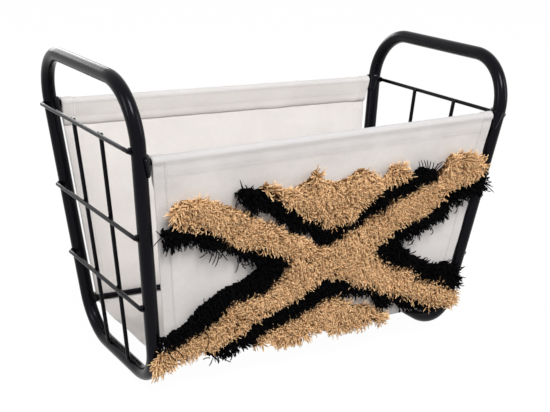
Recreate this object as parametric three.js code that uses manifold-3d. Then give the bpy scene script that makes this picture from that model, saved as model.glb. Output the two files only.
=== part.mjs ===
// Magazine basket: a canvas sling with a tufted front, hung on four cross rails between two bent tube ends.
// Millimetres, +Z up. X runs along the basket and the front faces -Y. The origin is on the floor.
// Both ends splay outwards and both loops are narrower at the floor, so the basket opens towards the top.
import * as THREE from 'three';
import { mergeVertices } from 'three/addons/utils/BufferGeometryUtils.js';
import Module from 'manifold-3d';

const wasm = await Module();
wasm.setup();

// End loops: one bent tube each, measured between tube centres in the loop's own plane
const tubeDiameter = 13.4;
const loopHeight = 291;
const loopTopDepth = 228;
const loopBottomDepth = 155;
const topBendRadius = 48;
const bottomBendRadius = 44;
const endSpacing = 330;
const splayAngle = THREE.MathUtils.degToRad(7.5);
const tubeSides = 16;
const bendSteps = 10;

// Wire grid on the outside of each end, heights from the bottom tube's centre
const wireDiameter = 4;
const lowWireHeight = 84.5;
const middleWireHeight = 155;
const topWireHeight = 236;
const nearUprightShare = 0.334;
const farUprightShare = 0.649;
const wireSides = 10;

// Cross rails and the curved saddles that join them to the posts
const railDiameter = 6;
const topRailHeight = 235;
const frontRailDrop = 11;
const bottomRailHeight = 31;
const railSides = 16;
const saddleThickness = 2;
const topSaddleHeight = 18;
const topSaddleDrop = 3.5;
const bottomSaddleHeight = 10;
const saddleTopWrap = THREE.MathUtils.degToRad(84);
const saddleBottomWrap = THREE.MathUtils.degToRad(58);
const saddleSteps = 8;

// Canvas sling
const canvasThickness = 1.2;
const sleeveClearance = 0.4;
const hemDepth = 24;
const hemGap = 0.4;
const baseSag = 5;
const canvasInset = 10;
const foldSteps = 9;
const baseSteps = 12;

// Tufted pile on the front panel
const pileHeight = 12;
const pileGap = 0.5;

// Gap between touching pieces, and how far a cutting or trimmed solid runs past what it meets
const seatGap = 0.3;
const overrun = 20;

// Each station of the tufted cross: shares of the panel's half width and of its height, then the arm's
// half thickness as a share of the height
const crossCentreShares = [0, 0.368, 0.084];
const upperLeftShares = [
  [-0.27, 0.49, 0.072], [-0.49, 0.582, 0.086], [-0.72, 0.68, 0.08], [-0.95, 0.695, 0.05]];
const lowerLeftShares = [
  [-0.28, 0.235, 0.083], [-0.47, 0.165, 0.082], [-0.6, 0.13, 0.094], [-0.72, 0.07, 0.077],
  [-0.98, 0.012, 0.043]];
const upperRightShares = [
  [0.38, 0.512, 0.115], [0.57, 0.6, 0.097], [0.68, 0.636, 0.089], [0.76, 0.718, 0.12],
  [0.88, 0.742, 0.092], [0.985, 0.747, 0.058]];
const lowerRightShares = [
  [0.38, 0.262, 0.092], [0.58, 0.183, 0.083], [0.82, 0.095, 0.066], [0.985, 0.042, 0.06]];
// Edges of the bare canvas left and right of the cross, each round one corner
const leftCanvasShares = [
  [-0.975, 0.12], [-0.87, 0.169], [-0.75, 0.255], [-0.55, 0.325], [-0.42, 0.381], [-0.58, 0.475],
  [-0.7, 0.508], [-0.84, 0.548], [-0.975, 0.558]];
const rightCanvasShares = [
  [0.98, 0.6], [0.93, 0.573], [0.85, 0.534], [0.78, 0.485], [0.68, 0.435], [0.53, 0.383],
  [0.63, 0.318], [0.69, 0.308], [0.8, 0.253], [0.91, 0.247], [0.98, 0.22]];
// The wedges above and below the cross, two corners and the tip between them first, then the far edge;
// and the outer ends and far edges of the dark bands between the wedges and the cross
const topWedgeShares = [
  [-0.44, 0.785], [0.03, 0.535], [0.52, 0.765], [0.45, 0.81], [0.34, 0.775], [0.17, 0.82], [0.04, 0.775],
  [-0.12, 0.835], [-0.27, 0.76], [-0.4, 0.808]];
const bottomWedgeShares = [[0.56, -0.02], [0.05, 0.175], [-0.45, -0.005], [-0.38, -0.03], [0.45, -0.03]];
const topBandEndShares = [-0.575, 0.7];
const topBandLevelShare = 0.795;
const bottomBandEndShares = [-0.76, 0.93];
const bottomBandLevelShare = -0.03;

const tubeRadius = tubeDiameter / 2;
const wireRadius = wireDiameter / 2;
const railRadius = railDiameter / 2;
// A flat of the faceted tube lies on the floor, so its centre stands one inner radius above it
const tubeSeat = tubeRadius * Math.cos(Math.PI / tubeSides);

const steelBlack = { color: 0x141417, roughness: 0.38, metalness: 0.35 };
const canvasWhite = { color: 0xdcd6d2, roughness: 0.95, metalness: 0 };
const yarnTan = { color: 0xcb9f6d, roughness: 1, metalness: 0 };
const yarnBlack = { color: 0x0c0c0e, roughness: 1, metalness: 0 };

function piece(name, geometry, look) {
  const mesh = new THREE.Mesh(geometry, new THREE.MeshStandardMaterial(look));
  mesh.name = name;
  return mesh;
}

// Booleans

function toSolid(geometry) {
  const bare = geometry.clone();
  bare.deleteAttribute('normal');
  bare.deleteAttribute('uv');
  const merged = mergeVertices(bare);
  return new wasm.Manifold(new wasm.Mesh({
    numProp: 3,
    vertProperties: new Float32Array(merged.attributes.position.array),
    triVerts: new Uint32Array(merged.index.array),
  }));
}

function fromSolid(solid) {
  const mesh = solid.getMesh();
  return indexed(mesh.vertProperties, mesh.triVerts);
}

function indexed(positions, triangles) {
  const geometry = new THREE.BufferGeometry();
  geometry.setAttribute('position', new THREE.BufferAttribute(new Float32Array(positions), 3));
  geometry.setIndex(new THREE.BufferAttribute(new Uint32Array(triangles), 1));
  geometry.computeVertexNormals();
  return geometry;
}

// Sweeps: rings of points in order along a path; a closed path joins the last ring to the first

function sweep(rings, closed) {
  const sides = rings[0].length;
  const positions = rings.flat().flatMap((p) => [p.x, p.y, p.z]);
  const triangles = [];
  const joins = closed ? rings.length : rings.length - 1;
  for (let i = 0; i < joins; i++) {
    const here = i * sides;
    const next = ((i + 1) % rings.length) * sides;
    for (let j = 0; j < sides; j++) {
      const k = (j + 1) % sides;
      triangles.push(here + j, next + j, here + k, here + k, next + j, next + k);
    }
  }
  if (!closed) {
    const last = (rings.length - 1) * sides;
    for (const [a, b, c] of capTriangles(rings[0])) {
      triangles.push(a, b, c, last + a, last + c, last + b);
    }
  }
  const solid = indexed(positions, triangles);
  return signedVolume(solid) < 0 ? indexed(positions, triangles.slice().reverse()) : solid;
}

function capTriangles(ring) {
  const origin = ring[0];
  const u = new THREE.Vector3().subVectors(ring[1], origin).normalize();
  const normal = new THREE.Vector3();
  ring.forEach((p, i) => normal.add(new THREE.Vector3().crossVectors(p, ring[(i + 1) % ring.length])));
  normal.normalize();
  const v = new THREE.Vector3().crossVectors(normal, u);
  const flat = ring.map((p) => {
    const d = new THREE.Vector3().subVectors(p, origin);
    return new THREE.Vector2(d.dot(u), d.dot(v));
  });
  return THREE.ShapeUtils.triangulateShape(flat, []);
}

function signedVolume(geometry) {
  const p = geometry.attributes.position;
  const t = geometry.index.array;
  const [a, b, c] = [new THREE.Vector3(), new THREE.Vector3(), new THREE.Vector3()];
  let total = 0;
  for (let i = 0; i < t.length; i += 3) {
    a.fromBufferAttribute(p, t[i]);
    b.fromBufferAttribute(p, t[i + 1]);
    c.fromBufferAttribute(p, t[i + 2]);
    total += a.dot(b.cross(c));
  }
  return total;
}

// The loop's centreline in its own plane: y runs front to rear, z up the slope, x outwards

function loopDepthAt(height) {
  return THREE.MathUtils.lerp(loopBottomDepth, loopTopDepth, height / loopHeight);
}

function loopStations() {
  const corners = [
    [-loopBottomDepth / 2, 0, bottomBendRadius],
    [-loopTopDepth / 2, loopHeight, topBendRadius],
    [loopTopDepth / 2, loopHeight, topBendRadius],
    [loopBottomDepth / 2, 0, bottomBendRadius],
  ];
  const stations = [];
  corners.forEach(([y, z, radius], i) => {
    const corner = new THREE.Vector2(y, z);
    const toward = (other) => new THREE.Vector2(other[0], other[1]).sub(corner).normalize();
    const before = toward(corners[(i + 3) % 4]);
    const after = toward(corners[(i + 1) % 4]);
    const half = Math.acos(before.dot(after)) / 2;
    const centre = before.clone().add(after).setLength(radius / Math.sin(half)).add(corner);
    const start = before.clone().setLength(radius / Math.tan(half)).add(corner).sub(centre);
    const sweepAngle = -(Math.PI - 2 * half);
    for (let k = 0; k <= bendSteps; k++) {
      const out = start.clone().normalize().rotateAround(new THREE.Vector2(), (sweepAngle * k) / bendSteps);
      stations.push({ centre: out.clone().multiplyScalar(radius).add(centre), out });
    }
  });
  return stations;
}

// A point and its outward direction on a bend, whose two runs meet at a corner with this inside angle
function onBend(radius, cornerDepth, centreHeight, inside, height, side) {
  const rise = Math.asin(THREE.MathUtils.clamp((height - centreHeight) / radius, -1, 1));
  const reach = cornerDepth / 2 - radius / Math.tan(inside / 2) + radius * Math.cos(rise);
  return {
    centre: new THREE.Vector2(side * reach, centreHeight + radius * Math.sin(rise)),
    out: new THREE.Vector2(side * Math.cos(rise), Math.sin(rise)),
  };
}

// Centre and outward direction of a post at a height, on its straight run or on either of its bends
function postAt(height, side) {
  const lean = Math.atan2(loopTopDepth - loopBottomDepth, 2 * loopHeight);
  const right = Math.PI / 2;
  if (height < bottomBendRadius * (1 - Math.sin(lean))) {
    return onBend(bottomBendRadius, loopBottomDepth, bottomBendRadius, right + lean, height, side);
  }
  if (height > loopHeight - topBendRadius * (1 + Math.sin(lean))) {
    const centreHeight = loopHeight - topBendRadius;
    return onBend(topBendRadius, loopTopDepth, centreHeight, right - lean, height, side);
  }
  return {
    centre: new THREE.Vector2((side * loopDepthAt(height)) / 2, height),
    out: new THREE.Vector2(side * Math.cos(lean), -Math.sin(lean)),
  };
}

function loopGeometry() {
  const rings = loopStations().map(({ centre, out }) => {
    const ring = [];
    for (let j = 0; j < tubeSides; j++) {
      const angle = splayAngle + (2 * Math.PI * (j + 1 / 2)) / tubeSides;
      const reach = tubeRadius * Math.cos(angle);
      ring.push(new THREE.Vector3(
        tubeRadius * Math.sin(angle), centre.x + reach * out.x, centre.y + reach * out.y));
    }
    return ring;
  });
  return sweep(rings, true);
}

// Wires: straight rods between two points of the loop's plane, at a distance outside it

function rodBetween(start, end, diameter, sides) {
  const along = new THREE.Vector3().subVectors(end, start);
  const rod = new THREE.CylinderGeometry(diameter / 2, diameter / 2, along.length(), sides);
  const turn = new THREE.Quaternion().setFromUnitVectors(
    new THREE.Vector3(0, 1, 0), along.clone().normalize());
  rod.applyQuaternion(turn);
  const middle = start.clone().lerp(end, 1 / 2);
  return rod.translate(middle.x, middle.y, middle.z);
}

const acrossOffset = tubeRadius + seatGap + wireRadius;
const uprightOffset = acrossOffset - wireDiameter - seatGap;

function acrossWire(height) {
  const half = loopDepthAt(height) / 2;
  return rodBetween(
    new THREE.Vector3(acrossOffset, -half, height),
    new THREE.Vector3(acrossOffset, half, height), wireDiameter, wireSides);
}

// Both ends are the same frame, one of them turned round, so the share is counted from the same post of it
function uprightWire(share) {
  const foot = Math.sqrt(tubeRadius ** 2 - (uprightOffset - wireRadius) ** 2) + seatGap;
  const at = (height) => new THREE.Vector3(
    uprightOffset, loopDepthAt(height) * (1 / 2 - share), height);
  return rodBetween(at(foot), at(topWireHeight), wireDiameter, wireSides);
}

// Saddles: a curved plate on the inner side of a post, following its bend, narrower at its lower end

function saddleGeometry(middleHeight, plateHeight, side) {
  const inner = tubeRadius + seatGap;
  const outer = inner + saddleThickness;
  const levels = 4;
  const rings = [];
  for (let i = 0; i <= levels; i++) {
    const share = i / levels;
    const { centre, out } = postAt(middleHeight + plateHeight * (share - 1 / 2), side);
    const wrap = THREE.MathUtils.lerp(saddleBottomWrap, saddleTopWrap, share);
    const point = (radius, angle) => new THREE.Vector3(
      -radius * Math.cos(angle),
      centre.x + radius * Math.sin(angle) * out.x,
      centre.y + radius * Math.sin(angle) * out.y);
    const ring = [];
    for (let k = 0; k <= saddleSteps; k++) ring.push(point(inner, wrap * ((2 * k) / saddleSteps - 1)));
    for (let k = saddleSteps; k >= 0; k--) ring.push(point(outer, wrap * ((2 * k) / saddleSteps - 1)));
    rings.push(ring);
  }
  return sweep(rings, false);
}

// One end of the basket, in the plane of its loop. frontSide is the sign of y that faces the front.
function endFrame(hand, frontSide) {
  const frame = new THREE.Group();
  frame.add(piece(`${hand}_end_loop`, loopGeometry(), steelBlack));
  frame.add(piece(`${hand}_low_wire`, acrossWire(lowWireHeight), steelBlack));
  frame.add(piece(`${hand}_middle_wire`, acrossWire(middleWireHeight), steelBlack));
  frame.add(piece(`${hand}_top_wire`, acrossWire(topWireHeight), steelBlack));
  for (const [face, side] of [['front', frontSide], ['rear', -frontSide]]) {
    const share = side > 0 ? nearUprightShare : farUprightShare;
    frame.add(piece(`${hand}_${face}_upright_wire`, uprightWire(share), steelBlack));
    const topHeight = hand === 'left' && face === 'front' ? topRailHeight - frontRailDrop : topRailHeight;
    const top = saddleGeometry(topHeight - topSaddleDrop, topSaddleHeight, side);
    const bottom = saddleGeometry(bottomRailHeight, bottomSaddleHeight, side);
    frame.add(piece(`${hand}_top_${face}_saddle`, top, steelBlack));
    frame.add(piece(`${hand}_bottom_${face}_saddle`, bottom, steelBlack));
  }
  frame.position.set(endSpacing / 2, 0, tubeSeat);
  frame.rotation.y = splayAngle;
  return frame;
}

// Rails, in the basket's own frame

function railPlace(height) {
  const { centre } = postAt(height, 1);
  return { y: centre.x, z: tubeSeat + height * Math.cos(splayAngle) };
}

// Half the distance between the saddles' inner faces at a level, less the gap at the rail's lower edge
function railHalfLength(level) {
  const plate = tubeRadius + seatGap + saddleThickness;
  const slope = (level - tubeSeat - plate * Math.sin(splayAngle)) * Math.tan(splayAngle);
  return endSpacing / 2 - plate * Math.cos(splayAngle) + slope
    - seatGap - railRadius * Math.tan(splayAngle);
}

function railGeometry(leftHeight, rightHeight, side) {
  const left = railPlace(leftHeight);
  const right = railPlace(rightHeight);
  return rodBetween(
    new THREE.Vector3(-railHalfLength(left.z), side * left.y, left.z),
    new THREE.Vector3(railHalfLength(right.z), side * right.y, right.z), railDiameter, railSides);
}

// Canvas sling: a folded strip seen from the end, then cut to the splay of the ends

const wrapRadius = railRadius + sleeveClearance + canvasThickness / 2;
const topRail = railPlace(topRailHeight);
const bottomRail = railPlace(bottomRailHeight);
const panelLean = Math.atan2(topRail.y - bottomRail.y, topRail.z - bottomRail.z);
const panelHeight = Math.hypot(topRail.y - bottomRail.y, topRail.z - bottomRail.z);

// Where the middle of a top rail lies at a place along the basket, when its left end hangs this much lower
function topRailAt(x, drop) {
  const left = railPlace(topRailHeight - drop);
  const along = (x + railHalfLength(left.z)) / (railHalfLength(topRail.z) + railHalfLength(left.z));
  return {
    y: THREE.MathUtils.lerp(left.y, topRail.y, along),
    z: THREE.MathUtils.lerp(left.z, topRail.z, along),
  };
}

// The rear half of the strip, from the middle of the base up to the end of the hem inside this top rail
function halfStrip(upper) {
  const polar = (centre, angle) => new THREE.Vector2(
    centre.y + wrapRadius * Math.cos(angle), centre.z + wrapRadius * Math.sin(angle));
  const baseSlope = Math.atan2(2 * baseSag, bottomRail.y);
  const baseEnd = polar(bottomRail, -Math.PI / 2 + baseSlope);
  const points = [];
  for (let k = 0; k < baseSteps; k++) {
    const y = (baseEnd.x * k) / baseSteps;
    points.push(new THREE.Vector2(y, baseEnd.y - baseSag * (1 - (k / baseSteps) ** 2)));
  }
  const arc = (centre, from, to) => {
    for (let k = 0; k <= foldSteps; k++) {
      points.push(polar(centre, THREE.MathUtils.lerp(from, to, k / foldSteps)));
    }
  };
  arc(bottomRail, -Math.PI / 2 + baseSlope, -panelLean);
  // the inner hem leaves the top rail's sleeve on a tangent and ends against the panel
  const down = new THREE.Vector2(-Math.sin(panelLean), -Math.cos(panelLean));
  const inward = new THREE.Vector2(-Math.cos(panelLean), Math.sin(panelLean));
  const layer = wrapRadius - canvasThickness - hemGap;
  const offset = down.clone().multiplyScalar(hemDepth).addScaledVector(inward, -layer);
  const spread = Math.acos(wrapRadius / offset.length());
  const leave = Math.atan2(offset.y, offset.x) - spread;
  arc(upper, -panelLean, leave + 2 * Math.PI);
  points.push(offset.clone().add(new THREE.Vector2(upper.y, upper.z)));
  return points;
}

function stripOutline(points) {
  const left = [];
  const right = [];
  points.forEach((p, i) => {
    const before = points[Math.max(i - 1, 0)];
    const after = points[Math.min(i + 1, points.length - 1)];
    const along = new THREE.Vector2().subVectors(after, before).normalize();
    const across = new THREE.Vector2(-along.y, along.x).multiplyScalar(canvasThickness / 2);
    left.push(p.clone().add(across));
    right.unshift(p.clone().sub(across));
  });
  return left.concat(right);
}

// Half the canvas's width at a height above the bottom tube's centre
function canvasHalfAt(height) {
  return endSpacing / 2 + height * Math.tan(splayAngle) - canvasInset;
}

// The whole strip's outline in a section across the basket
function slingSection(x) {
  const rear = halfStrip(topRailAt(x, 0));
  const front = halfStrip(topRailAt(x, frontRailDrop)).slice(1);
  const mirrored = front.map((p) => new THREE.Vector2(-p.x, p.y)).reverse();
  return stripOutline(mirrored.concat(rear)).map((p) => new THREE.Vector3(x, p.x, p.y));
}

function slingGeometry() {
  const low = -tubeSeat;
  const high = loopHeight;
  const strip = sweep([slingSection(-canvasHalfAt(high)), slingSection(canvasHalfAt(high))], false);
  const trim = new THREE.Shape([
    new THREE.Vector2(-canvasHalfAt(low), low + tubeSeat),
    new THREE.Vector2(canvasHalfAt(low), low + tubeSeat),
    new THREE.Vector2(canvasHalfAt(high), high + tubeSeat),
    new THREE.Vector2(-canvasHalfAt(high), high + tubeSeat),
  ]);
  const depth = loopTopDepth + overrun;
  const wedge = new THREE.ExtrudeGeometry(trim, { depth, bevelEnabled: false, steps: 1 });
  wedge.translate(0, 0, -depth / 2).rotateX(Math.PI / 2);
  return fromSolid(toSolid(strip).intersect(toSolid(wedge)));
}

// Tufted pile: flat-faced pads on the front panel. A place on the panel is a share of its half width at
// that height and a share of the distance between the rails.

function onPanel([acrossShare, upShare]) {
  const up = upShare * panelHeight;
  const half = canvasHalfAt(bottomRail.z - tubeSeat + up * Math.cos(panelLean));
  return new THREE.Vector2(acrossShare * half, up);
}

function raised(place, rise) {
  return new THREE.Vector2(place.x, place.y + rise);
}

// Upper (sign 1) or lower (sign -1) edge of an arm, from the centre of the cross outwards
function armEdge(stations, sign, rise = 0) {
  return [crossCentreShares, ...stations].map(
    (s) => raised(onPanel(s), sign * s[2] * panelHeight + rise));
}

function meet(a, b, c, d) {
  const r = b.clone().sub(a);
  const s = d.clone().sub(c);
  const t = c.clone().sub(a).cross(s) / r.cross(s);
  return a.clone().addScaledVector(r, t);
}

// The two facing edges of two arms, joined where they cross: from the first arm's end to the second's
function notch(first, firstSign, second, secondSign, rise = 0) {
  const one = armEdge(first, firstSign, firstSign * rise);
  const two = armEdge(second, secondSign, secondSign * rise);
  const corner = meet(one[0], one[1], two[0], two[1]);
  return [...one.slice(1).reverse(), corner, ...two.slice(1)];
}

function atX(edge, x) {
  const i = Math.max(edge.findIndex((p) => Math.abs(p.x - edge[0].x) >= Math.abs(x - edge[0].x)), 1);
  const t = (x - edge[i - 1].x) / (edge[i].x - edge[i - 1].x);
  return edge[i - 1].clone().lerp(edge[i], t);
}

// An arm's edge from the centre of the cross out to a place across the panel
function edgeTo(edge, x) {
  const within = edge.filter((p) => Math.abs(p.x - edge[0].x) < Math.abs(x - edge[0].x));
  return [...within, atX(edge, x)];
}

function crossOutline() {
  return [
    ...notch(upperLeftShares, -1, lowerLeftShares, 1),
    ...armEdge(lowerLeftShares, -1).slice(1).reverse(),
    ...armEdge(lowerRightShares, -1),
    ...notch(lowerRightShares, 1, upperRightShares, -1),
    ...armEdge(upperRightShares, 1).slice(1).reverse(),
    ...armEdge(upperLeftShares, 1),
  ];
}

function sideBandOutline(first, firstSign, second, secondSign, bareShares) {
  return [...notch(first, firstSign, second, secondSign, pileGap), ...bareShares.map(onPanel)];
}

// A dark band along the cross's upper or lower edge, up to the wedge that it edges
function wedgeBandOutline(left, right, sign, endShares, levelShare, wedgeShares) {
  const rise = sign * pileGap;
  const level = levelShare * panelHeight;
  const leftEdge = armEdge(left, sign, rise);
  const rightEdge = armEdge(right, sign, rise);
  const [leftEnd, rightEnd] = endShares.map((share) => onPanel([share, levelShare]).x);
  const sides = wedgeShares.slice(0, 3).map(onPanel).map((p) => raised(p, -2 * rise));
  const [west, east] = sign > 0 ? [sides[0], sides[2]] : [sides[2], sides[0]];
  const levelEnds = [new THREE.Vector2(leftEnd, level), new THREE.Vector2(rightEnd, level)];
  return [
    ...edgeTo(leftEdge, leftEnd).reverse(), ...edgeTo(rightEdge, rightEnd).slice(1),
    levelEnds[1], meet(sides[1], east, ...levelEnds), sides[1], meet(sides[1], west, ...levelEnds),
    levelEnds[0],
  ];
}

function pad(name, outline, look) {
  const clean = THREE.ShapeUtils.isClockWise(outline) ? outline.slice().reverse() : outline;
  const geometry = new THREE.ExtrudeGeometry(
    new THREE.Shape(clean), { depth: pileHeight, bevelEnabled: false, steps: 1 });
  const mesh = piece(name, geometry, look);
  mesh.position.z = wrapRadius + canvasThickness / 2 + seatGap;
  return mesh;
}

function pile() {
  const panel = new THREE.Group();
  const topBand = wedgeBandOutline(
    upperLeftShares, upperRightShares, 1, topBandEndShares, topBandLevelShare, topWedgeShares);
  const bottomBand = wedgeBandOutline(
    lowerLeftShares, lowerRightShares, -1, bottomBandEndShares, bottomBandLevelShare, bottomWedgeShares);
  panel.add(pad('tan_cross_pile', crossOutline(), yarnTan));
  panel.add(pad('tan_top_wedge_pile', topWedgeShares.map(onPanel), yarnTan));
  panel.add(pad('tan_bottom_wedge_pile', bottomWedgeShares.map(onPanel), yarnTan));
  panel.add(pad('black_left_band_pile',
    sideBandOutline(upperLeftShares, -1, lowerLeftShares, 1, leftCanvasShares), yarnBlack));
  panel.add(pad('black_right_band_pile',
    sideBandOutline(lowerRightShares, 1, upperRightShares, -1, rightCanvasShares), yarnBlack));
  panel.add(pad('black_top_band_pile', topBand, yarnBlack));
  panel.add(pad('black_bottom_band_pile', bottomBand, yarnBlack));
  panel.position.set(0, -bottomRail.y, bottomRail.z);
  panel.rotation.x = Math.PI / 2 + panelLean;
  return panel;
}

// Assembly

const basket = new THREE.Group();

const rightEnd = endFrame('right', -1);
const leftEnd = new THREE.Group();
leftEnd.add(endFrame('left', 1));
leftEnd.rotation.z = Math.PI;
basket.add(rightEnd, leftEnd);

for (const [face, side, drop] of [['front', -1, frontRailDrop], ['rear', 1, 0]]) {
  const top = railGeometry(topRailHeight - drop, topRailHeight, side);
  const bottom = railGeometry(bottomRailHeight, bottomRailHeight, side);
  basket.add(piece(`top_${face}_rail`, top, steelBlack));
  basket.add(piece(`bottom_${face}_rail`, bottom, steelBlack));
}
basket.add(piece('canvas_sling', slingGeometry(), canvasWhite));
basket.add(pile());

// The pile stands proud of the front, so the whole is shifted to bring its middle to the origin
const bounds = new THREE.Box3().setFromObject(basket);
basket.position.y = -(bounds.min.y + bounds.max.y) / 2;

export default basket;
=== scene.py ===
import math

import bpy
import numpy as np
from mathutils import Matrix, Vector

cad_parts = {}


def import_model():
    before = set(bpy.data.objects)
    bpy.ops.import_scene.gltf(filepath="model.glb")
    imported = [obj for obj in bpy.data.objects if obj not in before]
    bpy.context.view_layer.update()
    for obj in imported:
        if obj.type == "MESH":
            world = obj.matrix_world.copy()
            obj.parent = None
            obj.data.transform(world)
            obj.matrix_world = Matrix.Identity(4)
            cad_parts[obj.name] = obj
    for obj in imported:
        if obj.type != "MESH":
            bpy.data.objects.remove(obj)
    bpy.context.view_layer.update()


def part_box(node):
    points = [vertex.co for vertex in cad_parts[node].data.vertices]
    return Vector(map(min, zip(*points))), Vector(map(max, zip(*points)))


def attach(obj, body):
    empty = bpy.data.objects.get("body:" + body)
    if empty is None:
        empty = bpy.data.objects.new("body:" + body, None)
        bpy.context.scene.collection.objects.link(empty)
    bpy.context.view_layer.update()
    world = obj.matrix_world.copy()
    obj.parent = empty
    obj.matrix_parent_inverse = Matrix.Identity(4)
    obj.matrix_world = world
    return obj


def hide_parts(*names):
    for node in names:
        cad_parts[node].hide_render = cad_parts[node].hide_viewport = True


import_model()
MM = 0.001

# Sizes of the solids, in millimetres, as the part's source has them
TUBE_R = 6.7
LOOP_H, TOP_D, BOTTOM_D = 291.0, 228.0, 155.0
TOP_BEND, BOTTOM_BEND = 48.0, 44.0
SPACING = 330.0
SPLAY = math.radians(7.5)
LEAN = math.atan2(TOP_D - BOTTOM_D, 2 * LOOP_H)
WIRE_R = 2.0
WIRE_HEIGHTS = {"low": 84.5, "middle": 155.0, "top": 236.0}
NEAR_SHARE, FAR_SHARE = 0.334, 0.649
RAIL_R = 3.0
TOP_RAIL, BOTTOM_RAIL = 235.0, 31.0
FRONT_DROP = 11.0
TOP_PLATE, TOP_PLATE_DROP, BOTTOM_PLATE = 18.0, 3.5, 10.0
PLATE = 2.0
SEAT = TUBE_R * math.cos(math.pi / 16)
SEAT_GAP = 0.3
CLOTH = 1.2
SLEEVE_GAP = 0.4
WRAP_R = RAIL_R + SLEEVE_GAP + CLOTH / 2
HEM = 24.0
SAG = 5.0
INSET = 10.0
# The loops' middle, front to rear, in the frame
SHIFT_Y = sum(corner[1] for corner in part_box("left_end_loop")) / 2 / MM

# Mesh helpers


def linked(name, data):
    thing = bpy.data.objects.new(name, data)
    bpy.context.scene.collection.objects.link(thing)
    return thing


def mesh_piece(name, points, faces, material, node=(), slot=None, smooth=True, floats=None, uv=None):
    """A mesh object from points in millimetres and lists of equal-length faces, riding on the frame."""
    mesh = bpy.data.meshes.new(name)
    points = np.asarray(points, np.float64) * MM
    groups = faces if isinstance(faces, list) else [faces]
    groups = [np.asarray(f, np.int64) for f in groups if len(f)]
    loops = np.concatenate([f.ravel() for f in groups])
    totals = np.concatenate([np.full(len(f), f.shape[1]) for f in groups])
    mesh.vertices.add(len(points))
    mesh.vertices.foreach_set("co", points.astype(np.float32).ravel())
    mesh.loops.add(len(loops))
    mesh.loops.foreach_set("vertex_index", loops.astype(np.int32))
    mesh.polygons.add(len(totals))
    mesh.polygons.foreach_set("loop_start", (np.cumsum(totals) - totals).astype(np.int32))
    mesh.polygons.foreach_set("use_smooth", np.full(len(totals), smooth))
    mesh.update(calc_edges=True)
    mesh.validate()
    for key, values in (floats or {}).items():
        layer = mesh.attributes.new(key, "FLOAT", "POINT")
        layer.data.foreach_set("value", np.asarray(values, np.float32))
    if uv is not None:
        layer = mesh.uv_layers.new(name="cut")
        layer.data.foreach_set("uv", np.asarray(uv, np.float32)[loops].ravel())
    mesh.materials.append(material)
    thing = linked(name, mesh)
    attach(thing, "root")
    if node:
        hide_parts(node)
    return thing


def unit(vectors, least=0.0):
    """Vectors at length one, or shorter where they are shorter than least."""
    return vectors / np.maximum(np.linalg.norm(vectors, axis=-1, keepdims=True), least)


def ring_faces(rings, sides, closed=False):
    """Quads between rings of points that follow each other in the point list."""
    i = np.arange(rings if closed else rings - 1)[:, None]
    j = np.arange(sides)[None, :]
    here, there = i * sides, ((i + 1) % rings) * sides
    k = (j + 1) % sides
    return np.stack([here + j, here + k, there + k, there + j], -1).reshape(-1, 4)


def end_caps(rings, sides):
    """The faces that close the first and the last of such rings."""
    ring = np.arange(sides)[None, :]
    return [ring[:, ::-1], (rings - 1) * sides + ring]


def circle(sides, shift=0.0):
    return 2 * np.pi * (np.arange(sides) + shift) / sides


def sections(e1, e2, sides, shift=0.0):
    """Unit circles spanned by two axes, or by two arrays of axes."""
    a = circle(sides, shift)[:, None]
    return np.cos(a) * e1[..., None, :] + np.sin(a) * e2[..., None, :]


def copies(faces, count, size):
    """The same faces for a number of equal parts of size points each."""
    return (faces[None] + (np.arange(count) * size)[:, None, None]).reshape(-1, faces.shape[1])


def tubes(paths, across, radii, sides, shift=0.0):
    """Points and faces of many strands, closed at the tip. across fixes one axis of their sections."""
    tangent = unit(np.gradient(paths, axis=1), 1e-9)
    e1 = unit(across - (tangent * across).sum(-1, keepdims=True) * tangent, 1e-9)
    points = paths[:, :, None] + radii[..., None, None] * sections(e1, np.cross(tangent, e1), sides, shift)
    n, steps = paths.shape[:2]
    faces = [copies(f, n, steps * sides) for f in (ring_faces(steps, sides), end_caps(steps, sides)[1])]
    return points.reshape(-1, 3), faces


def joined(parts):
    """Several (points, faces) as one."""
    points, merged, base = [], {}, 0
    for p, faces in parts:
        points.append(p)
        for f in faces:
            merged.setdefault(f.shape[1], []).append(f + base)
        base += len(p)
    return np.concatenate(points), [np.concatenate(f) for f in merged.values()]


def waves(seed, x, y, size, count=14):
    """Smooth seeded noise from about -1 to 1 whose bumps are about size wide."""
    r = np.random.default_rng(seed)
    total = 0.0
    for _ in range(count):
        turn, phase, k = r.uniform(0, 2 * np.pi), r.uniform(0, 2 * np.pi), r.uniform(0.6, 1.5) * np.pi / size
        total = total + np.sin(k * (np.cos(turn) * x + np.sin(turn) * y) + phase)
    return total / math.sqrt(count / 2) / 1.6


def smooth(t):
    t = np.clip(t, 0, 1)
    return t * t * (3 - 2 * t)


# Materials


def plug(tree, socket, value):
    """Links a socket to another one, or sets it to a number, a vector or a colour."""
    if isinstance(value, bpy.types.NodeSocket):
        tree.links.new(value, socket)
    elif isinstance(value, tuple):
        socket.default_value = (*value, 1)[:len(socket.default_value)]
    else:
        socket.default_value = value


def add(tree, kind, **settings):
    """A node with its properties and its input sockets set by name."""
    node = tree.nodes.new(kind)
    for key, value in settings.items():
        if hasattr(node, key):
            setattr(node, key, value)
        else:
            plug(tree, node.inputs[key.replace("_", " ")], value)
    return node


def nodes_of(name, **settings):
    """A new material, its node tree and its shader, whose sockets are set by name."""
    material = bpy.data.materials.new(name)
    material.use_nodes = True
    tree = material.node_tree
    shader = tree.nodes["Principled BSDF"]
    for key, value in settings.items():
        plug(tree, shader.inputs[key.replace("_", " ")], value)
    return material, tree, shader


def ramp(tree, source, stops):
    node = add(tree, "ShaderNodeValToRGB", Fac=source)
    while len(node.color_ramp.elements) < len(stops):
        node.color_ramp.elements.new(0.5)
    for element, (place, colour) in zip(node.color_ramp.elements, stops):
        element.position = place
        element.color = (*colour, 1)
    return node.outputs["Color"]


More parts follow.
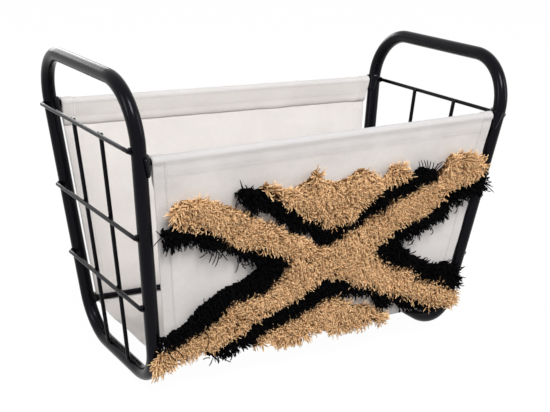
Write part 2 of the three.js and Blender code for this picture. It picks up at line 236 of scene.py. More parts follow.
def mixed(tree, amount, a, b, blend="MIX"):
    node = add(tree, "ShaderNodeMix", data_type="RGBA", blend_type=blend)
    for socket, value in ((node.inputs["Factor"], amount), (node.inputs[6], a), (node.inputs[7], b)):
        plug(tree, socket, value)
    return node.outputs[2]


def calc(tree, operation, *values):
    node = add(tree, "ShaderNodeMath", operation=operation)
    for socket, value in zip(node.inputs, values):
        plug(tree, socket, value)
    return node.outputs[0]


def scaled(tree, value, middle, gain):
    """How far a value is from a middle, times a gain."""
    return calc(tree, "MULTIPLY", calc(tree, "SUBTRACT", value, middle), gain)


def noise(tree, place, scale, detail, roughness=0.5):
    node = add(tree, "ShaderNodeTexNoise", Vector=place, Scale=scale, Detail=detail, Roughness=roughness)
    return node.outputs["Fac"]


def ranged(tree, value, low, high):
    """A value from 0 to 1, brought to lie between low and high."""
    return add(tree, "ShaderNodeMapRange", Value=value, To_Min=low, To_Max=high).outputs["Result"]


def attribute(tree, name):
    return add(tree, "ShaderNodeAttribute", attribute_name=name).outputs["Fac"]


def place_of(tree):
    return add(tree, "ShaderNodeTexCoord").outputs["Object"]


def surface(tree, shader, colour, height, strength, distance):
    """Links the shader's colour, and the height that roughens its surface."""
    bump = add(tree, "ShaderNodeBump", Strength=strength, Distance=distance, Height=height)
    plug(tree, shader.inputs["Base Color"], colour)
    plug(tree, shader.inputs["Normal"], bump.outputs["Normal"])


def powder_coat():
    material, tree, shader = nodes_of("black_powder_coat", Specular_IOR_Level=0.11,
                                      Specular_Tint=(0.86, 0.85, 1.0))
    place = place_of(tree)
    peel = noise(tree, place, 700.0, 1.0)
    cloud = noise(tree, place, 26.0, 3.0, 0.55)
    colour = ramp(tree, cloud, [(0.3, (0.0016, 0.0014, 0.0022)), (0.72, (0.0028, 0.0025, 0.0036))])
    plug(tree, shader.inputs["Roughness"], ranged(tree, cloud, 0.17, 0.26))
    surface(tree, shader, colour, peel, 0.04, 0.0001)
    return material


# The weave's threads, in metres: from one to the next, and how far they wander
THREAD_PITCH, THREAD_DRIFT = 0.00105, 0.0016


def canvas():
    material, tree, shader = nodes_of("natural_canvas", Roughness=0.92, Specular_IOR_Level=0.2,
                                      Sheen_Weight=0.15, Sheen_Roughness=0.5)
    uv = add(tree, "ShaderNodeUVMap", uv_map="cut").outputs["UV"]
    split = add(tree, "ShaderNodeSeparateXYZ", Vector=uv)
    shift = scaled(tree, noise(tree, uv, 55.0, 2.0), 0.5, THREAD_DRIFT)
    threads = []
    for axis in ("X", "Y"):
        wandered = calc(tree, "ADD", split.outputs[axis], shift)
        threads.append(calc(tree, "SINE", calc(tree, "MULTIPLY", wandered, 2 * math.pi / THREAD_PITCH)))
    weave = calc(tree, "MULTIPLY", *threads)
    lift = calc(tree, "ADD", calc(tree, "MULTIPLY", weave, 0.5), 0.5)

    def slub(sx, sy, scale):
        stretched = add(tree, "ShaderNodeMapping", Scale=(sx, sy, 1.0), Vector=uv).outputs["Vector"]
        return noise(tree, stretched, scale, 3.0, 0.6)

    mottle = slub(1.0, 1.0, 16.0)
    fine = calc(tree, "ADD", calc(tree, "SUBTRACT", slub(1.0, 1.0, 130.0), 0.5),
                calc(tree, "SUBTRACT", slub(1.0, 1.6, 420.0), 0.5))
    specks = calc(tree, "GREATER_THAN", slub(1.0, 1.0, 900.0), 0.735)
    base = ramp(tree, mottle, [(0.3, (0.68, 0.635, 0.62)), (0.7, (0.755, 0.715, 0.695))])
    # long slubs, cross slubs, fine grain, cooler clouds and seed specks
    for amount, colour in (
            (scaled(tree, slub(1.0, 14.0, 60.0), 0.5, 0.5), (0.5, 0.45, 0.42)),
            (scaled(tree, slub(14.0, 1.0, 60.0), 0.5, 0.5), (0.86, 0.83, 0.8)),
            (calc(tree, "ADD", calc(tree, "MULTIPLY", fine, 0.55), 0.12), (0.55, 0.54, 0.52)),
            (scaled(tree, slub(1.0, 2.2, 34.0), 0.46, 1.1), (0.6, 0.6, 0.575)),
            (calc(tree, "MULTIPLY", specks, 0.35), (0.3, 0.22, 0.16))):
        base = mixed(tree, amount, base, colour)
    # painted shade: the weave's low places between the threads are darker
    base = mixed(tree, 1.0, base, ranged(tree, lift, 0.9, 1.0), "MULTIPLY")
    # hems are greyer, with painted shade; the inner face is paler, to stand for light that comes through thin
    # cloth from behind
    for name, share, colour in (("hem", 0.8, (0.46, 0.45, 0.458)), ("inner", 0.4, (0.84, 0.8, 0.77))):
        base = mixed(tree, calc(tree, "MULTIPLY", attribute(tree, name), share), base, colour)
    height = calc(tree, "ADD", calc(tree, "MULTIPLY", lift, 0.6), calc(tree, "MULTIPLY", mottle, 0.8))
    surface(tree, shader, base, height, 0.55, 0.0005)
    return material


def thread_material():
    material, tree, shader = nodes_of("sewing_thread", Roughness=0.7)
    twist = noise(tree, place_of(tree), 1500.0, 1.0)
    colour = ramp(tree, twist, [(0.3, (0.52, 0.49, 0.48)), (0.7, (0.68, 0.65, 0.63))])
    surface(tree, shader, colour, twist, 0.3, 0.0002)
    return material


def yarn(name, root, body, tip, tints, sheen, gloss):
    """Yarn that is dark at the root and pale at the tip, as painted shade and a painted highlight, each end
    with a tint of its own.
    """
    material, tree, shader = nodes_of(name, Roughness=0.82, Specular_IOR_Level=gloss, Sheen_Weight=sheen,
                                      Sheen_Roughness=0.4)
    ply = noise(tree, place_of(tree), 1400.0, 2.0)
    base = ramp(tree, attribute(tree, "along"), [(0.0, root), (0.34, root), (0.7, body), (1.0, tip)])
    tint = ramp(tree, attribute(tree, "tone"), [(i / (len(tints) - 1), c) for i, c in enumerate(tints)])
    base = mixed(tree, 1.0, base, tint, "MULTIPLY")
    base = mixed(tree, 1.0, base, ranged(tree, ply, 0.8, 1.15), "MULTIPLY")
    surface(tree, shader, base, ply, 0.5, 0.0003)
    return material


STEEL = powder_coat()
CANVAS = canvas()
THREAD = thread_material()
TAN = yarn("tan_yarn", (0.1, 0.05, 0.02), (0.565, 0.335, 0.158), (1.0, 0.72, 0.425),
           [(0.6, 0.5, 0.42), (0.9, 0.84, 0.76), (1.0, 0.98, 0.95), (1.08, 1.05, 1.02),
            (1.16, 1.1, 1.05)], 0.1, 0.12)
BLACK = yarn("black_yarn", (0.001, 0.001, 0.001), (0.0022, 0.0021, 0.0024), (0.0042, 0.004, 0.0045),
             [(0.7, 0.75, 0.8), (1.0, 1.0, 1.0), (1.1, 1.2, 1.35)], 0.0, 0.03)

# End loops in their own plane, then leant outwards


def world(points, side):
    """From the plane of an end loop (x outwards, y to the rear, z up the slope) to the basket."""
    p = np.asarray(points, float)
    x = p[..., 0] * math.cos(SPLAY) + p[..., 2] * math.sin(SPLAY) + SPACING / 2
    z = -p[..., 0] * math.sin(SPLAY) + p[..., 2] * math.cos(SPLAY) + SEAT
    return np.stack([side * x, p[..., 1] + SHIFT_Y, z], -1)


def hand_of(side):
    return "right" if side > 0 else "left"


def steel_piece(name, points, faces, node=(), side=None, smooth=True):
    """A steel piece. With a side, it is given in the plane of that end loop, and the left one is mirrored."""
    if side is not None:
        points = world(points, side)
        faces = faces if side > 0 else [f[:, ::-1] for f in faces]
    return mesh_piece(name, points, faces, STEEL, node, "black_powder_coat", smooth)


def depth_at(h):
    return BOTTOM_D + (TOP_D - BOTTOM_D) * h / LOOP_H


# Runs whose outward directions differ by less than this are straight
STRAIGHT = 0.03


def loop_line(steps, spacing):
    """The loop's centreline, from the front bottom bend up, over and down, with the outward direction."""
    corners = [(-BOTTOM_D / 2, 0, BOTTOM_BEND), (-TOP_D / 2, LOOP_H, TOP_BEND),
               (TOP_D / 2, LOOP_H, TOP_BEND), (BOTTOM_D / 2, 0, BOTTOM_BEND)]
    places = []
    for i, (y, z, r) in enumerate(corners):
        corner = np.array([y, z])
        before = unit(np.array(corners[i - 1][:2]) - corner)
        after = unit(np.array(corners[(i + 1) % 4][:2]) - corner)
        half = math.acos(before @ after) / 2
        centre = corner + unit(before + after) * r / math.sin(half)
        start = corner + before * r / math.tan(half) - centre
        for k in range(steps + 1):
            a = -(math.pi - 2 * half) * k / steps
            out = np.array([start[0] * math.cos(a) - start[1] * math.sin(a),
                            start[0] * math.sin(a) + start[1] * math.cos(a)]) / r
            places.append((centre + out * r, out))
    full = []
    for i, (p, out) in enumerate(places):
        full.append((p, out))
        q, out2 = places[(i + 1) % len(places)]
        n = int(np.linalg.norm(q - p) // spacing)
        if n > 1 and np.allclose(out, out2, atol=STRAIGHT):
            full += [(p + (q - p) * t / n, out + (out2 - out) * t / n) for t in range(1, n)]
    return np.array([p for p, _ in full]), np.array([o for _, o in full])


# A butt seam on the rear post, dressed smooth but still a hairline: its height in the loop's plane, then for
# each place along the tube how much the radius grows there
SEAM_HEIGHT = 138.0
SEAM_DIP = {0.9: 0.06, 1.5: 0.1, 1.9: -0.22, 2.3: 0.1, 2.9: 0.06}
# Sides of the tube, steps around each bend, and the spacing of its sections on a straight run
SIDES, BEND_STEPS, RUN_SPACING = 40, 26, 9.0


def end_loop(side):
    line, out = loop_line(BEND_STEPS, RUN_SPACING)
    out = unit(out)
    rear = np.where((line[:, 0] > 60) & (out[:, 0] > 0.95))[0]
    seam = rear[np.argmin(np.abs(line[rear, 1] - SEAM_HEIGHT))]
    step = unit(line[(seam + 1) % len(line)] - line[seam])
    extra = [line[seam] + step * d for d in SEAM_DIP]
    line = np.concatenate([line[:seam + 1], extra, line[seam + 1:]])
    out = np.concatenate([out[:seam + 1], [out[seam]] * len(extra), out[seam + 1:]])
    radius = np.full(len(line), TUBE_R)
    radius[seam + 1:seam + 1 + len(extra)] += list(SEAM_DIP.values())
    angle = SPLAY + circle(SIDES, 0.5)
    reach = radius[:, None] * np.cos(angle)
    points = np.stack([radius[:, None] * np.sin(angle), line[:, :1] + reach * out[:, :1],
                       line[:, 1:] + reach * out[:, 1:]], -1).reshape(-1, 3)
    faces = [ring_faces(len(line), SIDES, True)[:, ::-1]]
    steel_piece(f"{hand_of(side)}_loop_tube", points, faces, f"{hand_of(side)}_end_loop", side)


def rod(a, b, radius, sides=20, rim=0.5):
    """A straight rod with small rounded ends."""
    a, b = np.asarray(a, float), np.asarray(b, float)
    length = np.linalg.norm(b - a)
    along = (b - a) / length
    turns = np.linspace(0, np.pi / 2, 4)
    ends = [(rim - rim * math.sin(t), radius - rim + rim * math.cos(t)) for t in turns[::-1]]
    mids = [(s, radius) for s in np.linspace(0, length, max(3, int(length // 12)))[1:-1]]
    stations = ends + mids + [(length - s, r) for s, r in ends[::-1]]
    path = np.array([a + along * s for s, _ in stations])
    ref = np.array([1.0, 0, 0]) if abs(along[0]) < 0.8 else np.array([0, 0, 1.0])
    e1 = unit(ref - along * (along @ ref))
    ring = sections(e1, np.cross(along, e1), sides)
    points = path[:, None] + np.array([r for _, r in stations])[:, None, None] * ring[None]
    return points.reshape(-1, 3), [ring_faces(len(path), sides), *end_caps(len(path), sides)]


ACROSS = TUBE_R + SEAT_GAP + WIRE_R
UPRIGHT = ACROSS - 2 * WIRE_R - SEAT_GAP
UPRIGHT_FOOT = math.sqrt(TUBE_R ** 2 - (UPRIGHT - WIRE_R) ** 2) + SEAT_GAP


def upright_at(share, h):
    return np.array([UPRIGHT, depth_at(h) * (share - 0.5), h])


def upright_shares(side):
    """Shares from the front: both ends are one frame, turned round for the other end."""
    if side > 0:
        return {"front": 1 - FAR_SHARE, "rear": 1 - NEAR_SHARE}
    return {"front": NEAR_SHARE, "rear": FAR_SHARE}


def bead(centre, size, seed, rings=8, sides=12):
    """A weld bead: a low lumpy drop."""
    r = np.random.default_rng(seed)
    phi = np.linspace(0, np.pi, rings + 1)[1:-1, None]
    theta = circle(sides)
    ball = np.stack([np.sin(phi) * np.cos(theta), np.sin(phi) * np.sin(theta), np.cos(phi) + 0 * theta], -1)
    ball = np.concatenate([ball.reshape(-1, 3), [[0, 0, 1], [0, 0, -1]]])
    lump = 1 + 0.12 * sum(np.sin(ball @ r.normal(0, 2.2, 3) + r.uniform(0, 6)) for _ in range(3))
    points = np.asarray(centre) + ball * lump[:, None] * np.asarray(size)
    j = np.arange(sides)
    k = (j + 1) % sides
    last, poles = (rings - 2) * sides, (rings - 1) * sides
    return points, [ring_faces(rings - 1, sides)[:, ::-1], np.stack([np.full(sides, poles), j, k], 1),
                    np.stack([np.full(sides, poles + 1), last + k, last + j], 1)]


# Half sizes of the weld beads: at a wire's end, where two wires cross, and at an upright wire's foot
END_BEAD, CROSSING_BEAD, FOOT_BEAD = (1.5, 2.9, 1.35), (0.7, 2.0, 1.7), (2.0, 1.5, 1.5)


def end_wires(side):
    hand = hand_of(side)
    shares = upright_shares(side)
    for name, h in WIRE_HEIGHTS.items():
        half = depth_at(h) / 2
        steel_piece(f"{hand}_{name}_wire_rod", *rod((ACROSS, -half, h), (ACROSS, half, h), WIRE_R),
                    f"{hand}_{name}_wire", side)
    for name, share in shares.items():
        ends = upright_at(share, UPRIGHT_FOOT), upright_at(share, WIRE_HEIGHTS["top"])
        steel_piece(f"{hand}_{name}_upright_rod", *rod(*ends, WIRE_R), f"{hand}_{name}_upright_wire", side)
    parts = []
    for i, h in enumerate(WIRE_HEIGHTS.values()):
        for j, way in enumerate((-1, 1)):
            y = way * (depth_at(h) / 2 - 1.2)
            for rise, seed in ((1.7, 10 * i + j), (-1.7, 10 * i + j + 5)):
                parts.append(bead((TUBE_R + 0.7, y, h + rise), END_BEAD, seed))
        for j, share in enumerate(shares.values()):
            x, y, z = upright_at(share, h)
            parts.append(bead((x + WIRE_R + 0.1, y, z), CROSSING_BEAD, 100 + 10 * i + j))
    for j, share in enumerate(shares.values()):
        x, y, z = upright_at(share, UPRIGHT_FOOT)
        for shift, seed in ((-1.6, 200 + j), (1.6, 210 + j)):
            parts.append(bead((x - 0.6, y + shift, z + 0.3), FOOT_BEAD, seed))
    steel_piece(f"{hand}_weld_beads", *joined(parts), side=side)


# Rails and the saddles that hook them on the posts


def post_at(h, sign):
    """A post's centre and its outward direction at a height, on its straight run or its bottom bend."""
    if h < BOTTOM_BEND * (1 - math.sin(LEAN)):
        rise = math.asin((h - BOTTOM_BEND) / BOTTOM_BEND)
        reach = BOTTOM_D / 2 - BOTTOM_BEND / math.tan((math.pi / 2 + LEAN) / 2) + BOTTOM_BEND * math.cos(rise)
        return np.array([sign * reach, h]), np.array([sign * math.cos(rise), math.sin(rise)])
    return np.array([sign * depth_at(h) / 2, h]), np.array([sign * math.cos(LEAN), -math.sin(LEAN)])


def rail_place(h):
    return post_at(h, 1)[0][0], SEAT + h * math.cos(SPLAY)


# How far a saddle reaches round its post on each side, in degrees, at its lower and its upper edge
LOW_WRAP, HIGH_WRAP = 58, 84
SADDLE_LEVELS, SADDLE_STEPS = 13, 22
# Its gap to the tube, and how much thinner its edges are
SADDLE_CLEAR, SADDLE_THINNING = 0.12, 0.5


def saddle(side, face, level, middle, height):
    sign = -1 if face == "front" else 1
    inner, outer = TUBE_R + SADDLE_CLEAR, TUBE_R + SEAT_GAP + PLATE
    turn = 2 * np.arange(SADDLE_STEPS + 1) / SADDLE_STEPS - 1
    tips = np.clip((1 - np.abs(turn)) * SADDLE_STEPS / 2, 0, 1)
    rings = []
    for share in np.linspace(0, 1, SADDLE_LEVELS):
        centre, out = post_at(middle + height * (share - 0.5), sign)
        angles = math.radians(LOW_WRAP + (HIGH_WRAP - LOW_WRAP) * share ** 0.8) * turn
        # the plate thins out towards its edges
        edge = outer - SADDLE_THINNING + SADDLE_THINNING * min(1.0, min(share, 1 - share) * 12)
        back = inner + (edge - inner) * (0.55 + 0.45 * tips)
        for r, a in ((inner + 0 * angles, angles), (back[::-1], angles[::-1])):
            rings.append(np.stack([-r * np.cos(a), centre[0] + r * np.sin(a) * out[0],
                                   centre[1] + r * np.sin(a) * out[1]], -1))
    count = 2 * len(turn)
    faces = [ring_faces(SADDLE_LEVELS, count), *end_caps(SADDLE_LEVELS, count)]
    name = f"{hand_of(side)}_{level}_{face}"
    steel_piece(f"{name}_hook_plate", np.concatenate(rings), faces, f"{name}_saddle", side, smooth=False)


def rail_half(z):
    plate = TUBE_R + SEAT_GAP + PLATE
    slope = (z - SEAT - plate * math.sin(SPLAY)) * math.tan(SPLAY)
    return SPACING / 2 - plate * math.cos(SPLAY) + slope - SEAT_GAP - RAIL_R * math.tan(SPLAY)


def rail_ends(level, face):
    """Both ends of a rail's centreline."""
    h = TOP_RAIL if level == "top" else BOTTOM_RAIL
    drop = FRONT_DROP if (level, face) == ("top", "front") else 0
    sign = -1 if face == "front" else 1
    (yl, zl), (yr, zr) = rail_place(h - drop), rail_place(h)
    return (np.array([-rail_half(zl), sign * yl + SHIFT_Y, zl]),
            np.array([rail_half(zr), sign * yr + SHIFT_Y, zr]))


# Weld beads around each rail's end, set into the hook plate and clear of the sleeve's edge
RAIL_BEADS, BEAD_SINK, BEAD_CIRCLE, RAIL_BEAD = 9, 1.15, 2.6, (1.0, 1.25, 1.25)


def rails():
    beads = []
    for level in ("top", "bottom"):
        for face in ("front", "rear"):
            ends = rail_ends(level, face)
            steel_piece(f"{level}_{face}_rail_rod", *rod(*ends, RAIL_R, 24, 0.4), f"{level}_{face}_rail")
            for side, end in zip((-1, 1), ends):
                for k, a in enumerate(circle(RAIL_BEADS)):
                    away = np.array([side * BEAD_SINK, BEAD_CIRCLE * math.cos(a), BEAD_CIRCLE * math.sin(a)])
                    beads.append(bead(end + away, RAIL_BEAD, 300 + k, 6, 8))
    steel_piece("rail_weld_beads", *joined(beads))


# Canvas sling

RAIL_Y, RAIL_Z = rail_place(TOP_RAIL)
LOW_Y, LOW_Z = rail_place(BOTTOM_RAIL)
PANEL_LEAN = math.atan2(RAIL_Y - LOW_Y, RAIL_Z - LOW_Z)
# The scene's flap lies closer to the panel than the solid's, which is 0.4 mm off it
HEM_GAP = 0.05
# How many steps each part of the section has
BASE_STEPS, LOW_STEPS, PANEL_STEPS, FOLD_STEPS, FLAP_STEPS = 34, 10, 80, 14, 13
BASE, LOW_FOLD, PANEL, TOP_FOLD, FLAP = range(5)


def strip_profile(rail_y, rail_z):
    """Half of the sling's section, from the middle of the base to the end of the hem inside a top rail, as
    (y, z, part) with the part of the sling that each point belongs to."""
    slope = math.atan2(2 * SAG, LOW_Y)

    def polar(y, z, a):
        return y + WRAP_R * math.cos(a), z + WRAP_R * math.sin(a)

    def arc(y, z, first, last, steps, part):
        return [(*polar(y, z, first + (last - first) * k / steps), part) for k in range(steps + 1)]

    def line(a, b, ks, steps, part):
        return [(a[0] + (b[0] - a[0]) * k / steps, a[1] + (b[1] - a[1]) * k / steps, part) for k in ks]

    low = slope - math.pi / 2
    end = polar(LOW_Y, LOW_Z, low)
    places = [(end[0] * k / BASE_STEPS, end[1] - SAG * (1 - (k / BASE_STEPS) ** 2), BASE)
              for k in range(BASE_STEPS)]
    places += arc(LOW_Y, LOW_Z, low, -PANEL_LEAN, LOW_STEPS, LOW_FOLD)
    places += line(polar(LOW_Y, LOW_Z, -PANEL_LEAN), polar(rail_y, rail_z, -PANEL_LEAN),
                   range(1, PANEL_STEPS), PANEL_STEPS, PANEL)
    down = np.array([-math.sin(PANEL_LEAN), -math.cos(PANEL_LEAN)])
    inward = np.array([-math.cos(PANEL_LEAN), math.sin(PANEL_LEAN)])
    offset = down * HEM - inward * (WRAP_R - CLOTH - HEM_GAP)
    leave = math.atan2(offset[1], offset[0]) - math.acos(WRAP_R / np.linalg.norm(offset)) + 2 * math.pi
    places += arc(rail_y, rail_z, -PANEL_LEAN, leave, FOLD_STEPS, TOP_FOLD)
    tip = offset + np.array([rail_y, rail_z])
    return places + line(places[-1], tip, range(1, FLAP_STEPS + 1), FLAP_STEPS, FLAP)


def full_strip(front_drop):
    """The whole section from the front hem to the rear one: its points, their parts, lengths along it counted
    from the base's middle, and directions out of the cloth."""
    rear = strip_profile(RAIL_Y, RAIL_Z)
    front = strip_profile(*rail_place(TOP_RAIL - front_drop))
    whole = [(-y, z, part) for y, z, part in front[:0:-1]] + rear
    points = np.array([(y, z) for y, z, _ in whole])
    s = np.concatenate([[0], np.cumsum(np.linalg.norm(np.diff(points, axis=0), axis=1))])
    along = unit(np.gradient(points, axis=0))
    part = np.array([p for _, _, p in whole])
    return points, part, s - s[len(points) // 2], np.stack([along[:, 1], -along[:, 0]], -1)


# The section at the left ends of the rails and at the right ends; between them it changes evenly
LEFT, RIGHT = full_strip(FRONT_DROP), full_strip(0)
PART = LEFT[1]
STRIP, ARC, NORMAL = (np.stack([LEFT[k], RIGHT[k]]) for k in (0, 2, 3))


def top_of(way):
    """Lengths at which the front (-1) or rear (1) top fold is highest, at the left and the right."""
    heights = np.where(STRIP[..., 0] * way > 0, STRIP[..., 1], -1e9)
    return np.array([ARC[e][np.argmax(heights[e])] for e in (0, 1)])


def low_of(way):
    return np.array([ARC[e][(STRIP[e][:, 0] * way > 0) & (PART == LOW_FOLD)].mean() for e in (0, 1)])


FRONT_TOP, REAR_TOP, FRONT_LOW, REAR_LOW = top_of(-1), top_of(1), low_of(-1), low_of(1)
RAIL_LEFT, RAIL_RIGHT = rail_ends("top", "front")[0][0], rail_ends("top", "rear")[1][0]


def blend(pair, x):
    """Between a value at the left ends of the rails and one at their right ends."""
    return pair[0] + (pair[1] - pair[0]) * ((x - RAIL_LEFT) / (RAIL_RIGHT - RAIL_LEFT))


SIDE_HEM = 12.0
# The cloth's cut edges are rounded over this width
EDGE_ROUND = 0.35
# How far inside the hems' own edges the rows of stitching run
TOP_SEAM, SIDE_SEAM = 4.0, 1.3
# The side hem's fold starts this far below the flap's cut edge, so that the flap lies flat
FLAP_CLEAR = 6.0
# The flap's cut edge is turned under and pressed thin over this length, down to this share
PRESSED, THINNEST = 3.5, 0.15
# How much thicker the side hem is: outside at the top fold and the flap, and inside from below the flap down
HEM_OUT, HEM_IN = 0.75, 0.85


def half_width(z):
    return SPACING / 2 + (z - SEAT) * math.tan(SPLAY) - INSET


def wrinkle(x, s):
    """How far the panels and the base stand out of their plain form, at x across and at a length s."""
    half, calm = 170.0, 26
    tops = blend(FRONT_TOP, x), blend(REAR_TOP, x)
    lows = FRONT_LOW[0], REAR_LOW[0]
    panels = smooth(np.abs(s - lows[0]) / calm) * smooth(np.abs(s - lows[1]) / calm)
    for top in tops:
        panels = panels * smooth((np.abs(s - top) - 8) / calm)
    out = 0.55 * waves(1, x, 0.35 * s, 46) + 0.3 * waves(2, x, s, 24)
    for seed, top in zip((5, 6), tops):
        d = np.abs(s - top)
        # soft pleats that fall from the top fold, and drag lines from the corners
        out = out + 0.6 * waves(seed, 1.25 * x, 0.16 * s, 30) * np.exp(-((d - 34) / 34) ** 2)
        for edge in (-1, 1):
            u = half - edge * x
            drag = np.sin((u * 0.62 + d * 0.9) / 7.5 + edge) * np.exp(-((u - d * 0.8) / 30) ** 2)
            out = out + 0.7 * drag * np.exp(-u / 50)
    base = 0.9 * waves(3, x, s, 38) + 0.5 * waves(4, 0.4 * x, s, 22)
    return np.where((s > lows[0]) & (s < lows[1]), base, out) * panels


def lift_at(x, s):
    """How far the cloth stands out; the flap inside each top rail lies on the panel behind it."""
    front, rear = blend(FRONT_TOP, x), blend(REAR_TOP, x)
    behind = np.where(s < front, 2 * front - s, 2 * rear - s)
    return np.where((s < front) | (s > rear), -wrinkle(x, behind), wrinkle(x, s))


def groove(x, s, edge):
    """Rows of stitching pull the cloth in, and so does the sleeve's lower edge."""
    dent = np.zeros(np.broadcast(x, s).shape)
    for way, top in ((1, blend(FRONT_TOP, x)), (-1, blend(REAR_TOP, x))):
        d = (s - top) * way
        dent = dent + np.where(d > 0, 0.15, 0.25) * np.exp(-((np.abs(d) - HEM + TOP_SEAM) / 1.6) ** 2)
        dent = dent + np.where(d > 0, 0.7, 0.0) * np.exp(-((d - 10.5) / 2.8) ** 2)
    return dent + 0.35 * np.exp(-((edge - SIDE_HEM + SIDE_SEAM) / 1.1) ** 2)


def cloth_columns():
    """Places across each row of the cloth, closer at the side hems, and their distance from the edge."""
    near = np.array([0.0, EDGE_ROUND, 1.0, 2.5, 4.5, 6.5, 8.5, 9.6, 10.2, 10.8, 11.4, SIDE_HEM,
                     SIDE_HEM + 0.35, SIDE_HEM + 1.5])
    middle = np.linspace(0, 1, 134)[1:-1][None, :]
    left = -half_width(STRIP[0][:, 1])[:, None]
    right = half_width(STRIP[1][:, 1])[:, None]
    inner_left, inner_right = left + near[-1], right - near[-1]
    x = np.concatenate([left + near, inner_left + (inner_right - inner_left) * middle, right - near[::-1]], 1)
    return x, np.minimum(x - left, right - x)


def double_faces(n, m):
    """Quads of two layers of n by m points and of the rim that joins them."""
    a = (np.arange(n - 1)[:, None] * m + np.arange(m - 1)[None, :]).ravel()
    quads = np.stack([a + m, a + m + 1, a + 1, a], -1)
    row, col, base = np.arange(n - 1), np.arange(m - 1), n * m
    edges = [(row * m, (row + 1) * m), ((row + 1) * m + m - 1, row * m + m - 1), (col + 1, col),
             ((n - 1) * m + col, (n - 1) * m + col + 1)]
    rim = [np.stack([p + base, q + base, q, p], -1) for p, q in edges]
    return np.concatenate([quads, quads[:, ::-1] + base, *rim])


def sling():
    x, edge = cloth_columns()
    column = (slice(None), slice(None), None)
    s = blend(ARC[column], x)
    y, z = blend(STRIP[..., 0][column], x), blend(STRIP[..., 1][column], x)
    ny, nz = blend(NORMAL[..., 0][column], x), blend(NORMAL[..., 1][column], x)
    lift, dent = lift_at(x, s), groove(x, s, edge)
    part = PART[:, None]
    flap, fold = part == FLAP, part == TOP_FOLD
    front, rear = blend(FRONT_TOP, x), blend(REAR_TOP, x)
    band = np.minimum(np.abs(s - front), np.abs(s - rear))
    ends = blend(ARC[:, 0], x), blend(ARC[:, -1], x)
    near_top = band < np.where(s < 0, front - ends[0], ends[1] - rear) + FLAP_CLEAR
    hem = edge < SIDE_HEM + 0.01
    extra_out = np.where(hem & (flap | fold), HEM_OUT, 0.0)
    extra_in = np.where(hem & ~flap & ~fold & ~near_top & (part != LOW_FOLD), HEM_IN, 0.0)
    round_off = np.clip(edge / EDGE_ROUND, 0, 1) ** 0.5
    pressed = np.where(flap, np.clip(np.minimum(s - ends[0], ends[1] - s) / PRESSED, THINNEST, 1), 1)
    lift = lift - CLOTH / 2 * (1 - pressed)
    outer = (CLOTH / 2 + extra_out) * round_off * pressed + lift - dent * np.where(fold, 0, 0.8)
    inner_dent = dent * np.where(fold | flap | near_top, 0, 0.6)
    inner = -(CLOTH / 2 + extra_in) * round_off * pressed + lift + inner_dent
    points = np.concatenate([np.stack([x, y + ny * offset + SHIFT_Y, z + nz * offset], -1).reshape(-1, 3)
                             for offset in (outer, inner)])
    uv = np.stack([x, s], -1).reshape(-1, 2) * MM
    # painted shade: greyer on the flap's band, on the side hems and on the round top fold
    hem_shade = np.clip(1 - (band - (HEM - 3)) / 2.0, 0, 1) * (0.75 + 0.25 * waves(9, x, s, 14))
    hem_shade = np.maximum(hem_shade * np.where(s < 0, 0.4, 0.05), 0.14 * smooth((SIDE_HEM + 0.6 - edge) / 0.6))
    hem_shade = np.maximum(hem_shade, np.exp(-(band / 8) ** 2) * np.where(s < 0, 1.0, 0.5)).ravel()
    # the outer layer of the flap faces the inside too
    inside_face = np.concatenate([np.broadcast_to(flap, x.shape).ravel() * 1.0, np.ones(x.size)])
    return mesh_piece("canvas_sling_cloth", points, double_faces(*x.shape), CANVAS, "canvas_sling",
                      "natural_canvas", floats={"hem": np.tile(hem_shade, 2), "inner": inside_face},
                      uv=np.concatenate([uv, uv]))


def place_on_cloth(x, lengths):
    """Points just under the cloth's outer face, and directions out of it. lengths: at the left and right."""
    def read(table):
        return blend([np.interp(lengths[e], ARC[e], table[e]) for e in (0, 1)], x)

    y, z, ny, nz = (read(table[..., k]) for table in (STRIP, NORMAL) for k in (0, 1))
    offset = lift_at(x, blend(lengths, x)) + CLOTH / 2 - 0.05
    return np.stack([x, y + ny * offset + SHIFT_Y, z + nz * offset], -1), np.stack([0 * x, ny, nz], -1)


# Along a stitch: the share of its length, how far it stands out of the cloth and its share of the full width
STITCH = np.array([(0.0, -0.35, 0.45), (0.18, 0.1, 1.0), (0.5, 0.22, 1.0), (0.82, 0.1, 1.0),
                   (1.0, -0.35, 0.45)])
STITCH_PITCH, STITCH_LENGTH, STITCH_R = 3.7, 2.9, 0.24


def stitches(starts, ends, normals, sides=6):
    """Short threads that dip into the cloth at both ends."""
    t, rise, width = STITCH.T[:, None, :, None]
    centre = starts[:, None] + (ends - starts)[:, None] * t + normals[:, None] * rise
    ring = sections(np.cross(unit(ends - starts), normals), normals, sides)
    points = centre[:, :, None] + (width * STITCH_R)[..., None] * ring[:, None]
    one = [ring_faces(len(STITCH), sides), *end_caps(len(STITCH), sides)]
    return points.reshape(-1, 3), [copies(f, len(starts), len(STITCH) * sides) for f in one]


